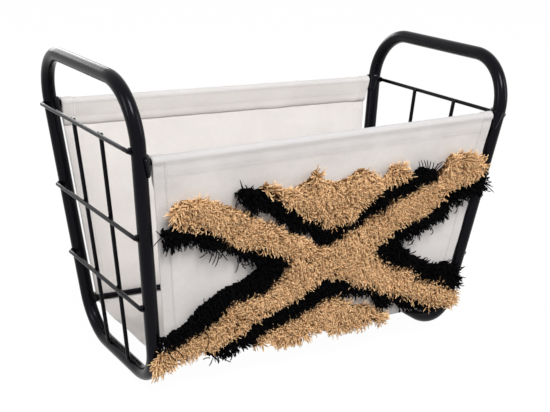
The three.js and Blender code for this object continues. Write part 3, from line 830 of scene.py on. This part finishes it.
def stitching():
    parts = []

    def run(x0, x1, start, end):
        """A row of stitches between two places, each given across and by its lengths at left and right."""
        reach = math.hypot(x1 - x0, blend(end, x1) - blend(start, x0))
        t = (np.arange(int(reach // STITCH_PITCH)) + 0.1) * STITCH_PITCH / reach

        def at(t):
            return place_on_cloth(x0 + (x1 - x0) * t, [start[e] + (end[e] - start[e]) * t for e in (0, 1)])

        (p, n), (q, _) = at(t), at(t + STITCH_LENGTH / reach)
        parts.append(stitches(p, q, n))

    def width(e, lengths):
        return half_width(np.interp(lengths[e], ARC[e], STRIP[e][:, 1]))

    for top, way in ((FRONT_TOP, 1), (REAR_TOP, -1)):
        for s in (top + way * (HEM - TOP_SEAM), top - way * (HEM - TOP_SEAM)):
            run(1 - width(0, s), width(1, s) - 1, s, s)
    inset = SIDE_HEM - SIDE_SEAM
    for e, sign in ((0, -1), (1, 1)):
        for s0, s1 in ((FRONT_TOP + 9, FRONT_LOW - 5), (FRONT_LOW + 5, REAR_LOW - 5),
                       (REAR_LOW + 5, REAR_TOP - 9)):
            run(sign * (width(e, s0) - inset), sign * (width(e, s1) - inset), s0, s1)
    return mesh_piece("sling_stitching", *joined(parts), THREAD, slot="natural_canvas")


# Tufted pile, on axes that lie in the front panel's outer face

PANEL_RIGHT = np.array([1.0, 0, 0])
PANEL_UP = np.array([0, -math.sin(PANEL_LEAN), math.cos(PANEL_LEAN)])
PANEL_OUT = np.array([0, -math.cos(PANEL_LEAN), -math.sin(PANEL_LEAN)])
PANEL_ORIGIN = np.array([0, -LOW_Y + SHIFT_Y, LOW_Z]) + PANEL_OUT * (WRAP_R + CLOTH / 2)


def from_panel(q):
    return PANEL_ORIGIN + q[..., :1] * PANEL_RIGHT + q[..., 1:2] * PANEL_UP + q[..., 2:3] * PANEL_OUT


# The camera, fitted to the outlines of both ends; the photograph's size and the focal length are in pixels
AZIMUTH, PITCH, ROLL = 0.5417, 0.2879, 0.0358
EYE = np.array([-0.5607, -0.93518, 0.46227])
FOCAL_PX, IMAGE_W, IMAGE_H = 1113.5, 550, 412
FORWARD = np.array([math.sin(AZIMUTH) * math.cos(PITCH), math.cos(AZIMUTH) * math.cos(PITCH),
                    -math.sin(PITCH)])
LEVEL = np.array([math.cos(AZIMUTH), -math.sin(AZIMUTH), 0.0])
RIGHT_PX = math.cos(ROLL) * LEVEL + math.sin(ROLL) * np.cross(LEVEL, FORWARD)
UP_PX = np.cross(RIGHT_PX, FORWARD)

# Edges of the tufted fields, read from the photograph in its pixels, each from left to right
# or from top to bottom
NW_TOP = [
    (170, 214), (175, 207), (185, 203), (201, 199), (213, 201), (222, 205), (235, 209), (245, 213),
    (255, 216), (262, 221), (272, 224), (282, 228), (290, 232), (300, 235), (308, 240), (316, 246),
    (322, 248), (328, 246), (335, 243), (341, 240),
]
NE_TOP = [
    (348, 231), (358, 228), (366, 222), (368, 217), (380, 213), (389, 207), (391, 200), (400, 198),
    (410, 195), (420, 187), (432, 185), (437, 179), (441, 173), (446, 168), (450, 160), (455, 155),
    (470, 154), (478, 154), (485, 158), (490, 161), (490, 167),
]
NE_LOW = [
    (375, 251), (380, 247), (386, 243), (393, 240), (395, 235), (400, 230), (408, 227), (415, 221),
    (425, 219), (429, 213), (436, 208), (443, 202), (450, 196), (460, 190), (470, 186), (475, 184),
    (479, 180), (484, 176), (488, 172),
]
SE_TOP = [
    (380, 256), (388, 261), (393, 266), (403, 268), (413, 271), (420, 277), (430, 281), (440, 281),
    (446, 286), (450, 290), (459, 289),
]
SE_LOW = [
    (335, 281), (345, 282), (350, 285), (360, 288), (370, 289), (378, 293), (385, 296), (395, 298),
    (405, 299), (415, 302), (425, 306), (432, 309), (440, 309),
]
SE_END = [(450, 310), (455, 308), (459, 303), (461, 295)]
SW_LOW = [
    (212, 354), (222, 350), (230, 344), (240, 336), (250, 330), (260, 322), (270, 317), (280, 311),
    (290, 304), (300, 299), (310, 293), (322, 285), (328, 277),
]
SW_END = [
    (200, 358), (195, 362), (185, 366), (175, 371), (165, 374), (156, 376), (154, 370), (155, 362),
    (158, 353),
]
SW_TOP = [
    (162, 353), (172, 350), (180, 346), (188, 340), (195, 336), (205, 330), (210, 329), (213, 322),
    (222, 319), (226, 313), (228, 308), (232, 303), (240, 302), (252, 299), (260, 293), (268, 290),
    (272, 285), (280, 280), (284, 273), (291, 269),
]
NW_LOW = [
    (174, 231), (185, 232), (195, 234), (200, 231), (210, 234), (218, 236), (224, 240), (230, 245),
    (240, 249), (250, 250), (260, 253), (270, 256), (280, 257), (287, 260), (291, 265),
]
LEFT_BARE = [
    (157, 341), (166, 340), (172, 335), (180, 331), (188, 325), (193, 319), (200, 311), (208, 304),
    (215, 299), (222, 293), (230, 289), (240, 285), (246, 282), (252, 276), (261, 271), (256, 268),
    (252, 264), (246, 263), (240, 260), (235, 255), (228, 252), (220, 252), (213, 254), (207, 253),
    (203, 250), (196, 247), (190, 248), (184, 251), (178, 252), (167, 250), (163, 243), (160, 236),
    (161, 232),
]
RIGHT_BARE = [
    (490, 178), (488, 187), (484, 194), (470, 198), (465, 203), (457, 206), (452, 212), (447, 219),
    (440, 222), (433, 228), (428, 232), (420, 237), (412, 239), (405, 243), (402, 247), (408, 253),
    (412, 257), (420, 257), (426, 262), (432, 265), (440, 266), (446, 263), (451, 263), (455, 266),
    (460, 269), (463, 277), (461, 285),
]
TOP_BAND = [
    (340, 229), (330, 229), (324, 227), (318, 221), (308, 222), (300, 217), (297, 210), (290, 211),
    (284, 207), (277, 200), (268, 196), (262, 190),
]
TOP_BAND_RIGHT = [
    (345, 225), (355, 223), (361, 218), (361, 213), (368, 207), (372, 202), (380, 199), (383, 192),
    (390, 188), (400, 185), (412, 180), (418, 174),
]
TOP_BAND_LOW = [
    (239, 192), (237, 198), (240, 203), (247, 209), (254, 214), (259, 214), (262, 211), (268, 213),
    (274, 219), (280, 223), (286, 225), (291, 231), (300, 233), (306, 233), (312, 239), (318, 245),
]
TOP_EDGE = [
    (264, 189), (267, 184), (271, 183), (276, 188), (285, 191), (296, 191), (303, 186), (310, 182),
    (314, 175), (318, 170), (323, 173), (326, 179), (331, 182), (340, 183), (346, 181), (352, 179),
    (357, 174), (363, 170), (368, 170), (375, 172), (380, 178), (388, 179), (390, 173), (392, 168),
    (400, 164), (408, 167), (412, 173),
]
BOTTOM_BAND = [
    (254, 343), (262, 336), (270, 331), (278, 328), (285, 323), (292, 320), (300, 314), (310, 309),
    (318, 306), (321, 300), (330, 297), (338, 297),
]
BOTTOM_EDGE = [
    (341, 301), (348, 302), (355, 307), (365, 305), (372, 306), (378, 311), (385, 314), (392, 320),
    (395, 321), (388, 324), (380, 327), (372, 325), (365, 328), (358, 331), (350, 332), (340, 336),
    (333, 338), (325, 335), (315, 337), (305, 342), (295, 346), (285, 350), (278, 350), (275, 344),
    (270, 341), (269, 347), (262, 351), (253, 351),
]
FIELDS = {
    "tan_cross": NW_TOP + NE_TOP + NE_LOW[::-1] + SE_TOP + SE_END[::-1] + SE_LOW[::-1] + SW_LOW[::-1] + SW_END
    + SW_TOP + NW_LOW[::-1] + [(174, 225)],
    "black_left_band": NW_LOW + SW_TOP[::-1] + LEFT_BARE,
    "black_right_band": NE_LOW[::-1] + SE_TOP + RIGHT_BARE[::-1],
    "black_top_band": [(243, 192), (249, 189), (256, 193)] + TOP_BAND[::-1] + TOP_BAND_RIGHT
    + [(420, 170), (425, 168), (431, 169), (437, 171)] + NE_TOP[12::-1] + NW_TOP[:15:-1]
    + TOP_BAND_LOW[::-1],
    "tan_top_wedge": TOP_EDGE + TOP_BAND_RIGHT[::-1] + TOP_BAND,
    "black_bottom_band": [(204, 359), (208, 363), (214, 361), (229, 360), (236, 354), (250, 350)]
    + BOTTOM_BAND
    + [(345, 300), (352, 298), (362, 298), (375, 300), (376, 307), (383, 311), (388, 307), (395, 308),
       (400, 311), (415, 313), (430, 313), (439, 311)] + SE_LOW[::-1] + SW_LOW[::-1],
    "tan_bottom_wedge": BOTTOM_BAND + BOTTOM_EDGE,
}
# Where longer ends stand out of the tan edges like brushes
PLUMES = [
    (201, 205), (178, 212), (318, 178), (272, 187), (363, 177), (400, 171), (466, 160), (452, 163),
    (160, 368),
]
# Single dark ends that stray over the canvas and the tan yarn. Each is three places in the photograph, as
# x, y, x, y, x, y: where it starts, its middle and where it ends.
LOOSE_ENDS = {
    "left": [
        (163, 237, 158, 241, 153, 247), (162, 236, 158, 233, 156, 231), (166, 247, 164, 251, 163, 254),
        (169, 248, 167, 253, 166, 257), (172, 248, 171, 252, 171, 255), (207, 252, 203, 256, 199, 258),
        (213, 252, 211, 258, 209, 263), (217, 252, 215, 259, 212, 265), (219, 252, 218, 260, 215, 267),
        (220, 250, 224, 256, 228, 261), (222, 250, 222, 255, 219, 259), (237, 258, 238, 266, 235, 273),
        (242, 261, 243, 266, 246, 269), (252, 262, 247, 265, 241, 264), (250, 283, 243, 284, 237, 280),
        (210, 305, 205, 304, 204, 298), (214, 300, 213, 297, 216, 294), (196, 318, 195, 314, 197, 311),
        (202, 330, 209, 339, 205, 351), (170, 340, 175, 334, 183, 332), (176, 350, 181, 354, 184, 359),
        (168, 350, 171, 356, 176, 360),
    ],
    "right": [
        (484, 184, 488, 185, 493, 187), (484, 188, 488, 191, 491, 191), (470, 197, 468, 201, 470, 205),
        (456, 205, 457, 210, 454, 214), (431, 228, 433, 232, 430, 235), (458, 276, 462, 277, 466, 278),
        (456, 270, 461, 269, 465, 266), (414, 240, 411, 244, 407, 245),
    ],
    "top": [
        (242, 196, 242, 188, 240, 180), (243, 195, 243, 189, 241, 184), (247, 192, 247, 188, 245, 185),
        (249, 191, 251, 188, 253, 186), (239, 196, 237, 201, 235, 207), (240, 202, 237, 205, 236, 208),
        (252, 211, 255, 214, 260, 217), (251, 207, 251, 212, 253, 216), (421, 173, 420, 167, 419, 161),
        (423, 172, 423, 166, 421, 160), (425, 172, 426, 166, 424, 160), (427, 172, 428, 166, 427, 160),
        (429, 172, 430, 166, 431, 161), (431, 172, 433, 167, 434, 162), (432, 173, 436, 168, 438, 163),
        (433, 173, 438, 168, 443, 163), (434, 174, 440, 169, 444, 165), (435, 174, 440, 170, 444, 167),
        (433, 172, 437, 166, 444, 161), (435, 175, 440, 172, 443, 170), (316, 240, 320, 243, 324, 245),
        (276, 220, 279, 224, 281, 226),
    ],
    "bottom": [
        (210, 358, 206, 358, 203, 360), (212, 360, 211, 363, 209, 366), (224, 358, 228, 361, 231, 362),
        (223, 350, 227, 346, 230, 343), (300, 304, 307, 304, 312, 302), (400, 306, 405, 311, 411, 313),
    ],
}

# How far the tips seen in the photograph stand out of the panel
TIPS = 8.0


def on_panel(pixels, height):
    """Places seen in the photograph, brought back onto the panel at a height above the canvas."""
    p = np.array(pixels, float)
    across, down = (p[:, :1] - IMAGE_W / 2) / FOCAL_PX, (p[:, 1:] - IMAGE_H / 2) / FOCAL_PX
    rays = FORWARD + across * RIGHT_PX - down * UP_PX
    eye = EYE / MM
    reach = ((PANEL_ORIGIN + PANEL_OUT * height - eye) @ PANEL_OUT) / (rays @ PANEL_OUT)
    away = eye + rays * reach[:, None] - PANEL_ORIGIN
    return np.stack([away @ PANEL_RIGHT, away @ PANEL_UP], -1)


def inside(points, outline):
    """Even-odd test of points against a closed outline."""
    x, y = points[:, 0], points[:, 1]
    ok = np.zeros(len(points), bool)
    for (ax, ay), (bx, by) in zip(outline, np.roll(outline, -1, axis=0)):
        crosses = (ay > y) != (by > y)
        ok ^= crosses & (x < ax + (y - ay) / (by - ay if by != ay else 1) * (bx - ax))
    return ok


PLUME_PLACES = on_panel(PLUMES, TIPS)
OUTLINES = {name: on_panel(edge, TIPS) for name, edge in FIELDS.items()}
# A millimetre grid over the panel
GRID_LOW, GRID_SHAPE = np.array([-190, -20]), (240, 380)
GRID_Y, GRID_X = np.meshgrid(*(np.arange(n) for n in GRID_SHAPE), indexing="ij")
CELLS = np.stack([GRID_X.ravel(), GRID_Y.ravel()], -1) + GRID_LOW


def spread(mask, sigma):
    """A mask on the grid, blurred, so that it falls from one to nothing across the outline."""
    reach = int(3 * sigma)
    kernel = np.exp(-0.5 * (np.arange(-reach, reach + 1) / sigma) ** 2)
    kernel /= kernel.sum()
    mask = mask.reshape(GRID_SHAPE).astype(float)
    for axis in (0, 1):
        mask = np.apply_along_axis(lambda row: np.convolve(row, kernel, "same"), axis, mask)
    return mask


EDGE_BLUR = 2.0
COVER = spread(sum(inside(CELLS, edge) for edge in OUTLINES.values()).clip(0, 1), EDGE_BLUR)
FALL_Y, FALL_X = np.gradient(COVER)
WIDE_COVER = spread(COVER, 2.5)


def on_grid(values, points):
    """Values of the grid at points of the panel."""
    q = points - GRID_LOW
    i = np.clip(q.astype(int), 0, np.array(GRID_SHAPE)[::-1] - 2)
    fx, fy = np.clip(q - i, 0, 1).T
    i, j = i.T
    return (values[j, i] * (1 - fx) + values[j, i + 1] * fx) * (1 - fy) + (
        values[j + 1, i] * (1 - fx) + values[j + 1, i + 1] * fx) * fy


def front_posts():
    """The front half of each loop's centreline."""
    line, _ = loop_line(8, 30.0)
    line = line[line[:, 0] < 0]
    flat = np.concatenate([np.zeros((len(line), 1)), line], 1)
    return [world(flat, side) for side in (-1, 1)]


FRONT_POSTS = front_posts()
# Yarn keeps this far off the plates at the bottom rails, and is pushed forwards this much as well as aside
PLATE_CLEAR, PUSH = 0.9, 2.5
# Yarn nearer to the middle than this is clear of the posts; the plates' margin above and below
POSTS_FROM, PLATE_MARGIN = 140, 3


def clear_of_posts(points, gap):
    """Pushes out the yarn that would run through a front post or a bottom hook plate, to lie over it."""
    flat = points.reshape(-1, 3)
    for line in FRONT_POSTS:
        near = np.where((np.abs(flat[:, 0]) > POSTS_FROM) & (np.sign(flat[:, 0]) == np.sign(line[0, 0])))[0]
        if not len(near):
            continue
        p = flat[near]
        best = np.full(len(p), 1e9)
        foot = np.zeros_like(p)
        for a, b in zip(line[:-1], line[1:]):
            ab = b - a
            if ab @ ab < 1e-9:
                continue
            f = a + np.clip((p - a) @ ab / (ab @ ab), 0, 1)[:, None] * ab
            d = np.linalg.norm(p - f, axis=1)
            closer = d < best
            best[closer], foot[closer] = d[closer], f[closer]
        beside_plate = np.abs(foot[:, 2] - LOW_Z) < BOTTOM_PLATE / 2 + PLATE_MARGIN
        reach = TUBE_R + gap + np.where(beside_plate, SEAT_GAP + PLATE + PLATE_CLEAR, 0)
        hit = best < reach
        p[hit] = foot[hit] + unit(p[hit] - foot[hit] + PANEL_OUT * PUSH) * reach[hit, None]
        flat[near] = p
    return flat.reshape(points.shape)


def tuft_places(r, seed, field, spacing, inset, own_inset, ragged, part):
    """Where the tufts of a field stand, on a shaken grid with ragged edges."""
    outline = OUTLINES[field]
    low, high = outline.min(0), outline.max(0)
    gx, gy = np.meshgrid(np.arange(low[0], high[0], spacing), np.arange(low[1], high[1], spacing * 0.87))
    gx = gx + (np.arange(gx.shape[0]) % 2)[:, None] * spacing / 2
    tufts = np.stack([gx.ravel(), gy.ravel()], -1) + r.uniform(-0.32, 0.32, (gx.size, 2)) * spacing
    tufts = tufts[inside(tufts, outline)]
    tufts = tufts[on_grid(COVER, tufts) > inset + ragged * waves(15 + seed, *tufts.T, 9)]
    tufts = tufts[on_grid(spread(inside(CELLS, outline), EDGE_BLUR), tufts) > own_inset]
    return tufts if part is None else tufts[part(*tufts.T)]


# A strand's half width at each step from root to tip, as a share of its own
STRAND_WIDTHS = np.array([0.8, 1, 1.05, 1.05, 1, 0.55])


def strands(seed, field, spacing, per_tuft, length, thickness, edge_flop, stray, inset, own_inset, lay,
            ragged=0.06, bow=1.7, part=None):
    """Cut yarn ends in tufts over one field of the pattern."""
    r = np.random.default_rng(seed)
    tufts = tuft_places(r, seed, field, spacing, inset, own_inset, ragged, part)
    count = len(tufts)
    x, y = tufts.T
    near = np.clip((1 - on_grid(COVER, tufts)) / 0.4, 0, 1)
    # at the rim of a field light reaches down to the roots
    open_side = np.clip((1 - on_grid(WIDE_COVER, tufts)) / 0.16, 0, 1)
    out = unit(-np.stack([on_grid(FALL_X, tufts), on_grid(FALL_Y, tufts)], -1), 0.02)
    # a coherent lie that drifts over the field, as brushed pile has
    lie = 0.3 * np.stack([waves(11, x, y, 26), waves(12, x, y, 26)], -1) + np.array([0.0, -0.04])
    tuft_tone = 0.5 + 0.16 * waves(13, x, y, 17) + r.normal(0, 0.09, count)
    tuft_length = length * (1 + 0.08 * waves(14, x, y, 14) + r.normal(0, 0.06, count))
    tuft_length *= 1 + near * (ragged * 4 * waves(16 + seed, x, y, 7) - 0.25)
    plume = np.exp(-(np.linalg.norm(tufts[:, None] - PLUME_PLACES, axis=2) / 6.5) ** 2).max(1)
    tuft_length *= 1 + 0.45 * plume
    n = count * per_tuft
    own = np.repeat(np.arange(count), per_tuft)
    turn = r.uniform(0, 2 * np.pi, n)
    around = np.stack([np.cos(turn), np.sin(turn)], -1)
    root = tufts[own] + around * r.uniform(0.1, spacing * 0.42, n)[:, None]
    tilt = around * (lay * r.uniform(0.05, 0.55, n))[:, None] + lie[own]
    flop = near[own] * edge_flop * r.uniform(0.3, 1.4, n) * np.clip(1 + 0.45 * out[own, 1], 0.4, 1.4)
    tilt = tilt + out[own] * flop[:, None]
    size = np.linalg.norm(tilt, axis=1)
    heading = tilt / np.maximum(size, 1e-6)[:, None]
    last = np.clip(size * 1.1 + lay * r.uniform(0, 0.7, n), 0.05, 1.5)
    long = tuft_length[own] * r.uniform(0.8, 1.1, n)
    loose = r.uniform(0, 1, n) < stray * (0.3 + 2.2 * near[own])
    long = np.where(loose, long * r.uniform(1.1, 1.55, n), long)
    last = np.where(loose, np.clip(last + r.uniform(0.1, 0.5, n), 0, 1.4), last)
    steps, sides = len(STRAND_WIDTHS), 4
    t = np.linspace(0, 1, steps)
    t = t + 0.5 * t * (1 - t)
    angle = last[:, None] * (0.06 + 1.04 * t[None, :] ** bow)
    step = long[:, None] * np.diff(t, prepend=0)[None, :]
    along_flat = np.cumsum(np.sin(angle) * step, 1)
    up = np.cumsum(np.cos(angle) * step, 1) + 0.15
    up = np.maximum(up, 0.15 + 1.1 * t[None, :] * np.minimum(along_flat, 2) / 2)
    aside = np.stack([-heading[:, 1], heading[:, 0]], -1)
    kink = r.normal(0, 0.36 * lay, (n, 1))
    kink = kink * np.sin(t[None, :] * r.uniform(2.5, 6, (n, 1)) + r.uniform(0, 6, (n, 1))) * t[None, :]
    path = root[:, None] + heading[:, None] * along_flat[..., None] + aside[:, None] * kink[..., None]
    full = clear_of_posts(from_panel(np.concatenate([path, up[..., None]], -1)), thickness * 0.62)
    across = (from_panel(np.concatenate([aside, np.zeros((n, 1))], -1)) - PANEL_ORIGIN)[:, None]
    radii = thickness / 2 * r.uniform(0.75, 1.15, (n, 1)) * STRAND_WIDTHS[None, :]
    tone = np.clip(tuft_tone[own] + r.normal(0, 0.27, n), 0, 1)
    along = (t + (1 - t) * 0.6 * open_side[own, None]).ravel()
    return *tubes(full, across, radii, sides, 0.5), np.repeat(tone, steps * sides), np.repeat(along, sides)


# Heights above the canvas of a loose end's start, middle and tip, and of one that rides over the tan yarn
FREE_HEIGHTS, OVER_TAN_HEIGHTS = (5.0, 8.0, 8.5), (9.0, 14.0, 13.0)
WISP_WIDTHS = np.array([1, 1, 1, 1, 1, 0.9, 0.5])


def wisps(lines, thickness, sides=5):
    """Single long ends, each through three places of the photograph, rising off the canvas as they go."""
    t = np.linspace(0, 1, len(WISP_WIDTHS))[:, None]
    paths = []
    for line in lines:
        line = np.reshape(line, (3, 2))
        over_tan = inside(on_panel(line[1:2], TIPS), OUTLINES["tan_cross"])[0]
        heights = OVER_TAN_HEIGHTS if over_tan else FREE_HEIGHTS
        q = [np.append(on_panel([place], height)[0], height) for place, height in zip(line, heights)]
        bend = 2 * q[1] - (q[0] + q[2]) / 2
        paths.append(from_panel((1 - t) ** 2 * q[0] + 2 * t * (1 - t) * bend + t ** 2 * q[2]))
    paths = clear_of_posts(np.array(paths), thickness)
    across = np.cross(unit(np.gradient(paths, axis=1)), PANEL_OUT)
    radii = thickness / 2 * WISP_WIDTHS[None, :]
    return *tubes(paths, across, radii, sides), 0.5, np.tile(np.repeat(t[:, 0], sides), len(lines))


# The bed under the ends: its grid's pitch, its height, and how far above the panel its underside lies
BED_PITCH, BED_HEIGHT, BED_LOW = 2, 2.5, 0.12


def ground(field):
    """A low bed of packed yarn under the ends, so that no canvas shows between them."""
    def thinned(values):
        return values.reshape(GRID_SHAPE)[::BED_PITCH, ::BED_PITCH]

    cover = thinned(COVER)
    height_up = from_panel(np.concatenate([CELLS, np.zeros((len(CELLS), 1))], 1))[:, 2]
    on_cloth = thinned(np.abs(CELLS[:, 0]) < half_width(height_up) - 1)
    cell = thinned(inside(CELLS, OUTLINES[field])) & on_cloth & (cover > 0.88)
    j, i = np.nonzero(cell[:-1, :-1])
    wide = cell.shape[1]
    quads = np.stack([j * wide + i, j * wide + i + 1, (j + 1) * wide + i + 1, (j + 1) * wide + i], -1)
    used, quads = np.unique(quads, return_inverse=True)
    quads = quads.reshape(-1, 4)
    y, x = np.divmod(used, wide)
    place = np.stack([x, y], -1) * float(BED_PITCH) + GRID_LOW
    near = np.clip((1 - cover.ravel()[used]) / 0.12, 0, 1)
    n = len(used)
    rise = 0.3 + BED_HEIGHT * smooth(1 - near)
    layers = [from_panel(np.concatenate([place, h[:, None]], 1)) for h in (rise, np.full(n, BED_LOW))]
    pairs = np.concatenate([quads[:, [k, (k + 1) % 4]] for k in range(4)])
    _, index, counts = np.unique(np.sort(pairs, 1), axis=0, return_index=True, return_counts=True)
    rim = pairs[index[counts == 1]]
    walls = np.stack([rim[:, 1], rim[:, 0], rim[:, 0] + n, rim[:, 1] + n], -1)
    faces = [np.concatenate([quads, quads[:, ::-1] + n, walls])]
    # the bed carries the roots' painted shade, paler towards the field's rim
    return np.concatenate(layers), faces, 0.2, np.tile(0.6 * near, 2)


def pile_piece(name, field, material, slot, seed, bed=True, loose_ends=(), **settings):
    parts = [strands(seed, field, **settings)]
    if loose_ends:
        parts.append(wisps(loose_ends, settings["thickness"]))
    if bed:
        parts.append(ground(field))
    points, faces, tones, alongs, base = [], [], [], [], 0
    for p, f, tone, along in parts:
        points.append(p)
        faces += [g + base for g in f]
        tones.append(np.broadcast_to(tone, len(p)))
        alongs.append(along)
        base += len(p)
    return mesh_piece(name, np.concatenate(points), faces, material, field + "_pile", slot,
                      floats={"tone": np.concatenate(tones), "along": np.concatenate(alongs)})


# Build

for side in (-1, 1):
    end_loop(side)
    end_wires(side)
    for face in ("front", "rear"):
        drop = FRONT_DROP if side < 0 and face == "front" else 0
        saddle(side, face, "top", TOP_RAIL - drop - TOP_PLATE_DROP, TOP_PLATE)
        saddle(side, face, "bottom", BOTTOM_RAIL, BOTTOM_PLATE)
rails()
cloth = sling()
seams = stitching()

TAN_SET = dict(spacing=3.2, per_tuft=8, length=10.5, thickness=0.9, edge_flop=0.3, stray=0.04, inset=0.86,
               own_inset=0.93, lay=1.6, bow=1.2)
BLACK_SET = dict(spacing=3.3, per_tuft=6, length=9.5, thickness=1.0, edge_flop=0.45, stray=0.12, inset=0.8,
                 own_inset=0.58, ragged=0.12, lay=1.1)
# The cross is four pieces, so that none has too many faces; its middle is here, across and up the panel
MIDDLE_X, MIDDLE_Y = 5, 84
QUARTERS = {
    "upper_left": lambda x, y: (x < MIDDLE_X) & (y >= MIDDLE_Y),
    "upper_right": lambda x, y: (x >= MIDDLE_X) & (y >= MIDDLE_Y),
    "lower_left": lambda x, y: (x < MIDDLE_X) & (y < MIDDLE_Y),
    "lower_right": lambda x, y: (x >= MIDDLE_X) & (y < MIDDLE_Y),
}
for name, part in QUARTERS.items():
    pile_piece(f"tan_cross_yarn_{name}", "tan_cross", TAN, "tan_yarn", 40, bed=name == "upper_left",
               part=part, **TAN_SET)
for seed, wedge in ((50, "tan_top_wedge"), (60, "tan_bottom_wedge")):
    pile_piece(f"{wedge}_yarn", wedge, TAN, "tan_yarn", seed, **TAN_SET)
for seed, (place, lines) in zip((70, 80, 90, 100), LOOSE_ENDS.items()):
    band = f"black_{place}_band"
    pile_piece(f"{band}_yarn", band, BLACK, "black_yarn", seed, loose_ends=lines, **BLACK_SET)

# Floor, light and camera

WHITE = (1.0, 1.0, 1.0)


def background_or(tree, seen, otherwise, kind, share=1.0):
    """One shader for rays that show the background, straight or by way of something glossy or clear, and
    another for all other rays; linked to the tree's output."""
    path = add(tree, "ShaderNodeLightPath")
    mirrored = calc(tree, "MAXIMUM", path.outputs["Is Glossy Ray"], path.outputs["Is Transmission Ray"])
    amount = calc(tree, "MAXIMUM", path.outputs["Is Camera Ray"], mirrored)
    if share < 1:
        amount = calc(tree, "MULTIPLY", amount, share)
    mix = add(tree, "ShaderNodeMixShader")
    for socket, value in zip(mix.inputs, (amount, otherwise.outputs[0], seen.outputs[0])):
        plug(tree, socket, value)
    plug(tree, add(tree, kind).inputs[0], mix.outputs[0])


def emptied(thing):
    thing.use_nodes = True
    thing.node_tree.nodes.clear()
    return thing.node_tree


def lamp(name, place, aim, size, power):
    data = bpy.data.lights.new(name, "AREA")
    data.shape = "RECTANGLE"
    data.size, data.size_y = size
    data.energy = power
    thing = linked(name, data)
    thing.location = place
    thing.rotation_euler = (Vector(aim) - Vector(place)).to_track_quat("-Z", "Y").to_euler()


def studio():
    bpy.ops.mesh.primitive_plane_add(size=14, location=(0, 0, 0))
    floor = bpy.context.object
    floor.name = "studio_floor"
    material = bpy.data.materials.new("studio_floor")
    tree = emptied(material)
    glow = add(tree, "ShaderNodeEmission", Color=WHITE, Strength=1.05)
    diffuse = add(tree, "ShaderNodeBsdfDiffuse", Color=(0.35, 0.35, 0.35))
    background_or(tree, glow, diffuse, "ShaderNodeOutputMaterial", 0.93)
    floor.data.materials.append(material)
    bpy.context.scene.world = bpy.data.worlds.new("studio")
    tree = emptied(bpy.context.scene.world)
    white, soft = (add(tree, "ShaderNodeBackground", Color=WHITE, Strength=power) for power in (1.0, 0.56))
    background_or(tree, white, soft, "ShaderNodeOutputWorld")
    lamp("key", (-0.35, -1.65, 2.1), (0, 0, 0.15), (0.7, 0.9), 55)
    lamp("fill", (1.5, -1.3, 0.9), (0, 0, 0.15), (0.2, 1.2), 10)
    lamp("left", (-1.9, -0.2, 0.9), (0, 0, 0.15), (0.5, 0.9), 9)
    lamp("back", (-0.05, 2.0, 0.8), (0, 0, 0.25), (1.3, 0.5), 10)


SENSOR = 36.0


def camera():
    data = bpy.data.cameras.new("camera")
    data.sensor_fit = "HORIZONTAL"
    data.sensor_width = SENSOR
    data.lens = SENSOR * FOCAL_PX / IMAGE_W
    data.clip_start = 0.05
    thing = linked("camera", data)
    axes = np.eye(4)
    axes[:3] = np.stack([RIGHT_PX, UP_PX, -FORWARD, EYE], 1)
    thing.matrix_world = Matrix(axes.tolist())
    bpy.context.scene.camera = thing


studio()
camera()
bpy.context.scene.view_settings.view_transform = "Standard"
